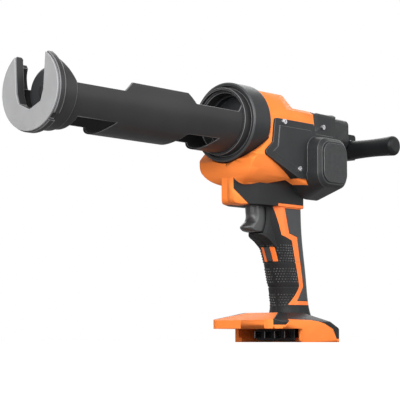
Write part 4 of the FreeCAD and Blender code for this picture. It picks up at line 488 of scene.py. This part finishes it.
screw_sizes = ("Head radius", "Head height", "Socket radius", "Socket depth",
               "Shank radius", "Shank length")
screw_tree, screw_entry, screw_leave = instance_tree("socket_screws", screw_sizes)
stand_on_points(screw_tree, screw_entry, screw_leave, screw_shape(screw_tree, screw_entry))
screw_zinc = metal_finish("screw_zinc", (214, 214, 216), (190, 190, 194),
                          roughness=0.22, stretch=(700, 700, 700), depth=0.00003)
socket_width_share = 0.5
socket_depth_share = 0.6
shank_width_share = 0.5
cover_head = 0.0018
housing_head = 0.0024
for node, outward, head_height in (("cover_screws_left", -1, cover_head),
                                   ("cover_screws_right", 1, cover_head),
                                   ("housing_screws", 1, housing_head)):
    places = []
    radii = []
    lengths = []
    for low, high in islands(node):
        seat = (low + high) / 2
        places.append((seat.x, high.y if outward > 0 else low.y, seat.z))
        radii.append((high.x - low.x) / 2)
        lengths.append(high.y - low.y)
    radius = min(radii)
    screws = marked_points(node + "_driven", places, [(0, outward, 0)] * len(places))
    grown(screws, screw_tree, {
        "Head radius": radius,
        "Head height": head_height,
        "Socket radius": radius * socket_width_share,
        "Socket depth": head_height * socket_depth_share,
        "Shank radius": radius * shank_width_share,
        "Shank length": min(lengths) - head_height,
        "Finish": screw_zinc,
    })
    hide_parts(node)
    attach(screws, "body")


# Soft skin of the yoke and the grip
# Rubber moulded over the shell round the trigger and down the grip, split at the middle like the shell.
# Matt black elastomer, smooth near the trigger and in two bands, with raised scales under the fingers.
grip_rubber = moulded_finish("grip_rubber", (29, 30, 31), (25, 26, 27),
                             roughness=0.52, grain=0.0006, depth=0.00006, specular=0.2)
# edges of the rubber parts painted lighter than the black grip skin, as a highlight; on the greyer straps
# and bar the same edges come out darker than the skin
rubber_edge_shading = moulded_finish("rubber_edge_shading", (44, 45, 46), (38, 39, 40),
                           roughness=0.45, grain=0.0007, depth=0.00006, specular=0.35)
for side in ("left", "right"):
    dressed("grip_" + side, "body", grip_rubber, rubber_edge_shading, edge_width=0.0006)


def clear_of_edges(surface, place, normal, margin):
    """Whether a surface goes on almost level for a margin on all four sides of a place."""
    across = Vector((0, 0, 1)).cross(normal).normalized()
    along = normal.cross(across)
    level_share = 0.3
    for step in (across, -across, along, -along):
        probe = place + step * margin + normal * margin
        hit, facing, index, distance = surface.ray_cast(probe, -normal, 2 * margin)
        if hit is None or abs(distance - margin) >= margin * level_share:
            return False
    return True


def scale_places(node, pitch, bands, axis_x, reach):
    """Places and outward directions on a grip half, staggered in rows within bands, clear of its edges."""
    surface = surface_of(node)
    places = []
    facings = []
    turns = 720
    least_facing = 0.2
    sight = reach * 0.95
    margin = pitch * 0.6
    row_rise = pitch * 0.866
    lowest, highest = bands[0][0], bands[-1][1]
    for row in range(int((highest - lowest) / row_rise)):
        level = lowest + row * row_rise
        if not any(low <= level <= high for low, high in bands):
            continue
        first_gap = pitch * (0.5 if row % 2 else 1.0)
        last = None
        for turn in range(turns):
            angle = 2 * math.pi * turn / turns
            outward = Vector((math.cos(angle), math.sin(angle), 0))
            start = Vector((axis_x, 0, level)) + outward * reach
            hit, normal, index, distance = surface.ray_cast(start, -outward, sight)
            if hit is None or normal.dot(outward) < least_facing:
                last = None
                continue
            if last is None:
                last = hit
                gap = first_gap
            if (hit - last).length < gap:
                continue
            last = hit
            gap = pitch
            if clear_of_edges(surface, hit, normal, margin):
                places.append(hit)
                facings.append(normal)
    return places, facings


scale_sizes = ("Base radius", "Crown radius", "Height", "Sunk")
scale_tree, scale_entry, scale_leave = instance_tree("grip_scales", scale_sizes)
scale_cone = scale_tree.nodes.new("GeometryNodeMeshCone")
scale_cone.inputs["Vertices"].default_value = 6
for size_name, cone_size in (("Base radius", "Radius Bottom"), ("Crown radius", "Radius Top"),
                             ("Height", "Depth")):
    scale_tree.links.new(scale_entry.outputs[size_name], scale_cone.inputs[cone_size])
scale_drop = scaled_value(scale_tree, scale_entry.outputs["Sunk"], -1.0)
scale_sunk = raised(scale_tree, scale_cone.outputs["Mesh"], scale_drop)
stand_on_points(scale_tree, scale_entry, scale_leave, scale_sunk)
# the scales are the grip's rubber painted lighter, as a highlight on the raised texture
scale_rubber_highlight = moulded_finish("scale_rubber_highlight", (46, 47, 49), (36, 37, 39),
                              roughness=0.36, grain=0.0006, depth=0.00004, specular=0.5)
scale_bands = ((0.0335, 0.0435), (0.0505, 0.0665), (0.0725, 0.0905))
for side in ("left", "right"):
    places, facings = scale_places("grip_" + side, pitch=0.0027, bands=scale_bands,
                                   axis_x=-0.0265, reach=0.04)
    scales = marked_points("grip_scales_" + side, places, facings)
    grown(scales, scale_tree, {
        "Base radius": 0.00112,
        "Crown radius": 0.00045,
        "Height": 0.0006,
        "Sunk": 0.0001,
        "Finish": scale_rubber_highlight,
    })
    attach(scales, "body")


# Back straps
# A smoother pad on each side behind the accent line, where the palm rests.
# The same elastomer with a greyer, fine-grained skin.
strap_rubber = moulded_finish("strap_rubber", (58, 60, 62), (50, 52, 54),
                              roughness=0.5, grain=0.0005, depth=0.00015, specular=0.3)
# the straps' edges take the rubber edge colour, so they are painted darker than the strap along the edges
for side in ("left", "right"):
    dressed("back_strap_" + side, "body", strap_rubber, rubber_edge_shading, edge_width=0.0005)


# Accent lines and the inlay
# Bent orange lines let into the soft skin on each side, and a small inlay with a raised bar in front.
# Glossier orange plastic, moulded in one shot with the shell; the bar is soft skin.
accent_orange = moulded_finish("accent_orange", (246, 118, 44), (240, 110, 38),
                               roughness=0.4, grain=0.0008, depth=0.00006)
for node in ("accent_stripe_left", "accent_stripe_right", "grip_inlay"):
    dressed(node, "body", accent_orange, shell_edge_highlight, edge_width=0.0003)
dressed("inlay_bar", "body", strap_rubber, rubber_edge_shading, edge_width=0.0005)


# Trigger
# The finger trigger: a hollowed face with a forward lip below, on a round stem that slides into the switch.
# Satin black plastic, moulded in one piece and polished where the finger pulls.
def smooth_line(points, steps):
    """A smooth line through points, with a few steps from each point to the next."""
    padded = [points[0], *points, points[-1]]
    line = []
    for before, start, end, after in zip(padded, padded[1:], padded[2:], padded[3:]):
        for step in range(steps):
            share = step / steps
            rise = (end - before) * share
            bend = (2 * before - 5 * start + 4 * end - after) * share ** 2
            twist = (3 * start - before - 3 * end + after) * share ** 3
            line.append((2 * start + rise + bend + twist) / 2)
    line.append(points[-1])
    return line


def lofted(name, rings, finish):
    """A closed skin through rings of points, with its two ends capped."""
    skin = bmesh.new()
    rows = [[skin.verts.new(place) for place in ring] for ring in rings]
    for lower, upper in zip(rows, rows[1:]):
        for index in range(len(lower)):
            skin.faces.new((lower[index - 1], lower[index], upper[index], upper[index - 1]))
    skin.faces.new(rows[0])
    skin.faces.new(rows[-1])
    bmesh.ops.recalc_face_normals(skin, faces=skin.faces)
    for face in skin.faces:
        face.smooth = True
    mesh = bpy.data.meshes.new(name)
    skin.to_mesh(mesh)
    skin.free()
    mesh.materials.append(finish)
    crease_angle = math.radians(50)
    mesh.set_sharp_from_angle(angle=crease_angle)
    return placed(name, mesh)


trigger_black = moulded_finish("trigger_black", (52, 53, 54), (46, 47, 48),
                               roughness=0.34, grain=0.0009, depth=0.00005, specular=0.6)
trigger_low, trigger_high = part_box("trigger")
trigger_half = trigger_high.y
trigger_tuck = 0.006
stem_length = 0.02
stem_overlap = 0.001
stem_radius = 0.003
stem_step = 0.008
trigger_back = trigger_high.x - stem_length
# height above the trigger's foot, and how far the face stands behind the tip of its lip
trigger_face = [
    Vector((0.0, 0.0095)), Vector((0.0009, 0.0042)), Vector((0.0037, 0.0)), Vector((0.0072, 0.0034)),
    Vector((0.0097, 0.007)), Vector((0.0137, 0.0089)), Vector((0.0187, 0.0085)), Vector((0.0237, 0.0081)),
    Vector((0.0297, 0.0083)),
]
face_depth = 0.0065
face_steps = 12
lip_setback = 0.0085
lip_gain = 0.3
rear_corner = 0.0015
corner_steps = 3
foot_round = 0.0012


def trigger_ring(height, setback):
    """Outline of the trigger at one height: a round face, straight flanks and rounded rear corners."""
    inset = foot_round * max(0.0, 1 - height / foot_round) ** 2
    front = trigger_low.x + setback + inset
    back = trigger_back - inset
    half = trigger_half - inset
    depth = face_depth + lip_gain * max(0.0, lip_setback - setback)
    ring = []
    for step in range(-face_steps, face_steps + 1):
        angle = step / face_steps * math.pi / 2
        ring.append((front + depth * (1 - math.cos(angle)), half * math.sin(angle)))
    for side_of, first in ((1, 90), (-1, 0)):
        for step in range(corner_steps + 1):
            angle = math.radians(first - 90 / corner_steps * step)
            ring.append((back - rear_corner + rear_corner * math.cos(angle),
                         side_of * (half - rear_corner) + rear_corner * math.sin(angle)))
    return [(x, y, trigger_low.z + height) for x, y in ring]


trigger_rings = [trigger_ring(height, setback) for height, setback in smooth_line(trigger_face, steps=4)]
trigger = lofted("trigger_finish", trigger_rings, trigger_black)
stem_level = trigger_high.z - trigger_tuck - stem_step
stem_middle = Vector((trigger_high.x - (stem_length + stem_overlap) / 2, 0, stem_level))
stem_skin = bmesh.new()
stem_skin.from_mesh(trigger.data)
bmesh.ops.create_cone(stem_skin, cap_ends=True, segments=24, radius1=stem_radius, radius2=stem_radius,
                      depth=stem_length + stem_overlap,
                      matrix=Matrix.Translation(stem_middle) @ Matrix.Rotation(math.pi / 2, 4, "Y"))
stem_skin.to_mesh(trigger.data)
stem_skin.free()
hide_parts("trigger")
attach(trigger, "trigger")


# Trigger cheeks
# A fold of the soft skin on each flank of the trigger, which hides the gap that the trigger slides into.
# The same elastomer as the grip, moulded on with it.
cheek_gap = 0.0005
cheek_lip = 0.0016
cheek_lead = 0.0012
cheek_foot_sweep = 0.006
cheek_top_sweep = 0.002
cheek_rear = trigger_back + 0.0225
cheek_flare = 0.013
cheek_foot_flare_share = 0.55
cheek_curve = 1.3
cheek_floor = trigger_low.z - 0.0007
cheek_top = trigger_high.z - trigger_tuck + 0.0006
cheek_inner = trigger_half + cheek_gap
cheek_outer = cheek_inner + cheek_lip
cheek_rows = 12
cheek_columns = 7


def cheek_ring(share):
    """Outline of the right-hand cheek at a share of its height: a round lip that flares to the rear."""
    front = trigger_back - cheek_lead - cheek_foot_sweep * (1 - share) ** 3 - cheek_top_sweep * share ** 3
    flare_share = cheek_foot_flare_share + (1 - cheek_foot_flare_share) * share
    flare = (cheek_flare - cheek_outer) * flare_share
    ring = [(cheek_rear, cheek_inner), (front, cheek_inner)]
    for bulge, lip_share in ((-0.0004, 0.4), (0.0002, 0.85)):
        ring.append((front + bulge, cheek_inner + cheek_lip * lip_share))
    for column in range(1, cheek_columns + 1):
        along = column / cheek_columns
        ring.append((front + (cheek_rear - front) * along, cheek_outer + flare * along ** cheek_curve))
    return ring


for side, side_of in (("left", -1), ("right", 1)):
    cheek_rings = []
    for row in range(cheek_rows + 1):
        share = row / cheek_rows
        level = cheek_floor + (cheek_top - cheek_floor) * share
        cheek_rings.append([(x, side_of * y, level) for x, y in cheek_ring(share)])
    cheek = lofted("trigger_cheek_" + side, cheek_rings, grip_rubber)
    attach(cheek, "body")


# Dial, release lever and pull handle
# The dial sets the speed, the lever on the tail frees the rod, and the handle draws the rod back.
# Satin black plastic, darker on the handle; steel pins hold the lever and the handle.
pull_black = moulded_finish("pull_black", (28, 29, 30), (23, 24, 25),
                            roughness=0.36, grain=0.0008, depth=0.0001, specular=0.14)
dressed("speed_dial", "dial", cover_black, cover_edge_highlight, edge_width=0.0002, steps=1)
dressed("release_lever", "lever", cover_black, cover_edge_highlight, edge_width=0.0004)
dressed("pull_handle", "rod", pull_black, cover_edge_highlight, edge_width=0.0006, fold=45.0)
for node in ("lever_pin", "pull_handle_pin"):
    finish_node(node, steel)


# Battery foot
# Soft skin flows over the foot with a tongue on each front corner.
# A black terminal block with nickel-plated blades hangs in the empty battery seat.
# The green control board and the switch are inside the shell.
board_green = moulded_finish("board_green", (38, 92, 58), (30, 78, 48),
                             roughness=0.4, grain=0.0009, depth=0.00004)
contact_nickel = metal_finish("contact_nickel", (132, 132, 134), (96, 96, 99),
                              roughness=0.3, stretch=(200, 900, 900), depth=0.00003)
dressed("foot_bumper", "body", grip_rubber, rubber_edge_shading, edge_width=0.0005)
dressed("terminal_block", "body", cover_black, cover_edge_highlight, edge_width=0.0005)
finish_node("battery_contacts", contact_nickel)
finish_node("control_board", board_green)
finish_node("trigger_switch", cover_black)


# Studio
# A plain pale floor and a white surround, with four broad soft lamps round the tool.
# The camera stands where the photograph was taken: front left, just above the floor, looking slightly up.
def seen_by(tree, rays, seen, unseen, target):
    """Shows one shader to the named kinds of rays and another to all the rest."""
    path = tree.nodes.new("ShaderNodeLightPath")
    share = path.outputs[rays[0]]
    for ray in rays[1:]:
        either = tree.nodes.new("ShaderNodeMath")
        either.operation = "MAXIMUM"
        tree.links.new(share, either.inputs[0])
        tree.links.new(path.outputs[ray], either.inputs[1])
        share = either.outputs["Value"]
    mix = tree.nodes.new("ShaderNodeMixShader")
    tree.links.new(share, mix.inputs["Fac"])
    tree.links.new(unseen, mix.inputs[1])
    tree.links.new(seen, mix.inputs[2])
    tree.links.new(mix.outputs["Shader"], target)


white = (1.0, 1.0, 1.0, 1.0)
world = bpy.data.worlds.new("white_studio")
bpy.context.scene.world = world
world.use_nodes = True
world_nodes = world.node_tree.nodes
soft_light = world_nodes["Background"]
soft_light.inputs["Color"].default_value = white
soft_light.inputs["Strength"].default_value = 0.2
white_view = world_nodes.new("ShaderNodeBackground")
white_view.inputs["Color"].default_value = white
white_view.inputs["Strength"].default_value = 1.0
seen_by(world.node_tree, ("Is Camera Ray", "Is Glossy Ray", "Is Transmission Ray"),
        white_view.outputs["Background"], soft_light.outputs["Background"],
        world_nodes["World Output"].inputs["Surface"])

floor_half = 6.0
floor_corners = [(-floor_half, -floor_half, 0), (floor_half, -floor_half, 0),
                 (floor_half, floor_half, 0), (-floor_half, floor_half, 0)]
floor_mesh = bpy.data.meshes.new("studio_floor")
floor_mesh.from_pydata(floor_corners, [], [(0, 1, 2, 3)])
floor = placed("studio_floor", floor_mesh)
floor_paint = bpy.data.materials.new("studio_floor")
floor_paint.use_nodes = True
floor_tree = floor_paint.node_tree
matt = floor_tree.nodes["Principled BSDF"]
matt.inputs["Base Color"].default_value = (0.4, 0.4, 0.4, 1.0)
matt.inputs["Roughness"].default_value = 0.9
glow = floor_tree.nodes.new("ShaderNodeEmission")
glow.inputs["Strength"].default_value = 1.25
shadowed = floor_tree.nodes.new("ShaderNodeMixShader")
shadowed.inputs["Fac"].default_value = 0.75
floor_tree.links.new(matt.outputs["BSDF"], shadowed.inputs[1])
floor_tree.links.new(glow.outputs["Emission"], shadowed.inputs[2])
seen_by(floor_tree, ("Is Camera Ray",), shadowed.outputs["Shader"], matt.outputs["BSDF"],
        floor_tree.nodes["Material Output"].inputs["Surface"])
floor_mesh.materials.append(floor_paint)

lamp_aim = (cad_box[0] + cad_box[1]) / 2


def lamp(name, place, width, power):
    """A square soft lamp at a place, turned towards the tool's middle."""
    data = bpy.data.lights.new(name, "AREA")
    data.size = width
    data.energy = power
    holder = placed(name, data)
    holder.location = place
    holder.rotation_euler = (lamp_aim - Vector(place)).to_track_quat("-Z", "Y").to_euler()


lamp("key_lamp", place=(-0.9, -1.2, 0.8), width=1.2, power=17.5)
lamp("front_lamp", place=(-1.6, -0.5, 0.6), width=1.5, power=30.0)
lamp("side_lamp", place=(0.4, -1.5, 0.6), width=1.2, power=12.5)
lamp("back_lamp", place=(0.9, 0.9, 1.0), width=1.2, power=9.0)

camera_place = Vector((-1.04807, -0.82489, 0.00159))
view_yaw = 0.73908
view_pitch = 0.09836
forward = Vector((math.cos(view_yaw) * math.cos(view_pitch), math.sin(view_yaw) * math.cos(view_pitch),
                  math.sin(view_pitch)))
right = Vector((math.sin(view_yaw), -math.cos(view_yaw), 0.0))
up = right.cross(forward)
camera_data = bpy.data.cameras.new("photo_camera")
camera_data.sensor_width = 36.0
camera_data.lens = 128.074
camera_data.clip_end = 50.0
camera_data.clip_start = 0.01
camera = placed("photo_camera", camera_data)
camera_turn = Matrix((right, up, -forward)).transposed().to_4x4()
camera.matrix_world = Matrix.Translation(camera_place) @ camera_turn
bpy.context.scene.camera = camera
bpy.context.scene.view_settings.view_transform = "Standard"
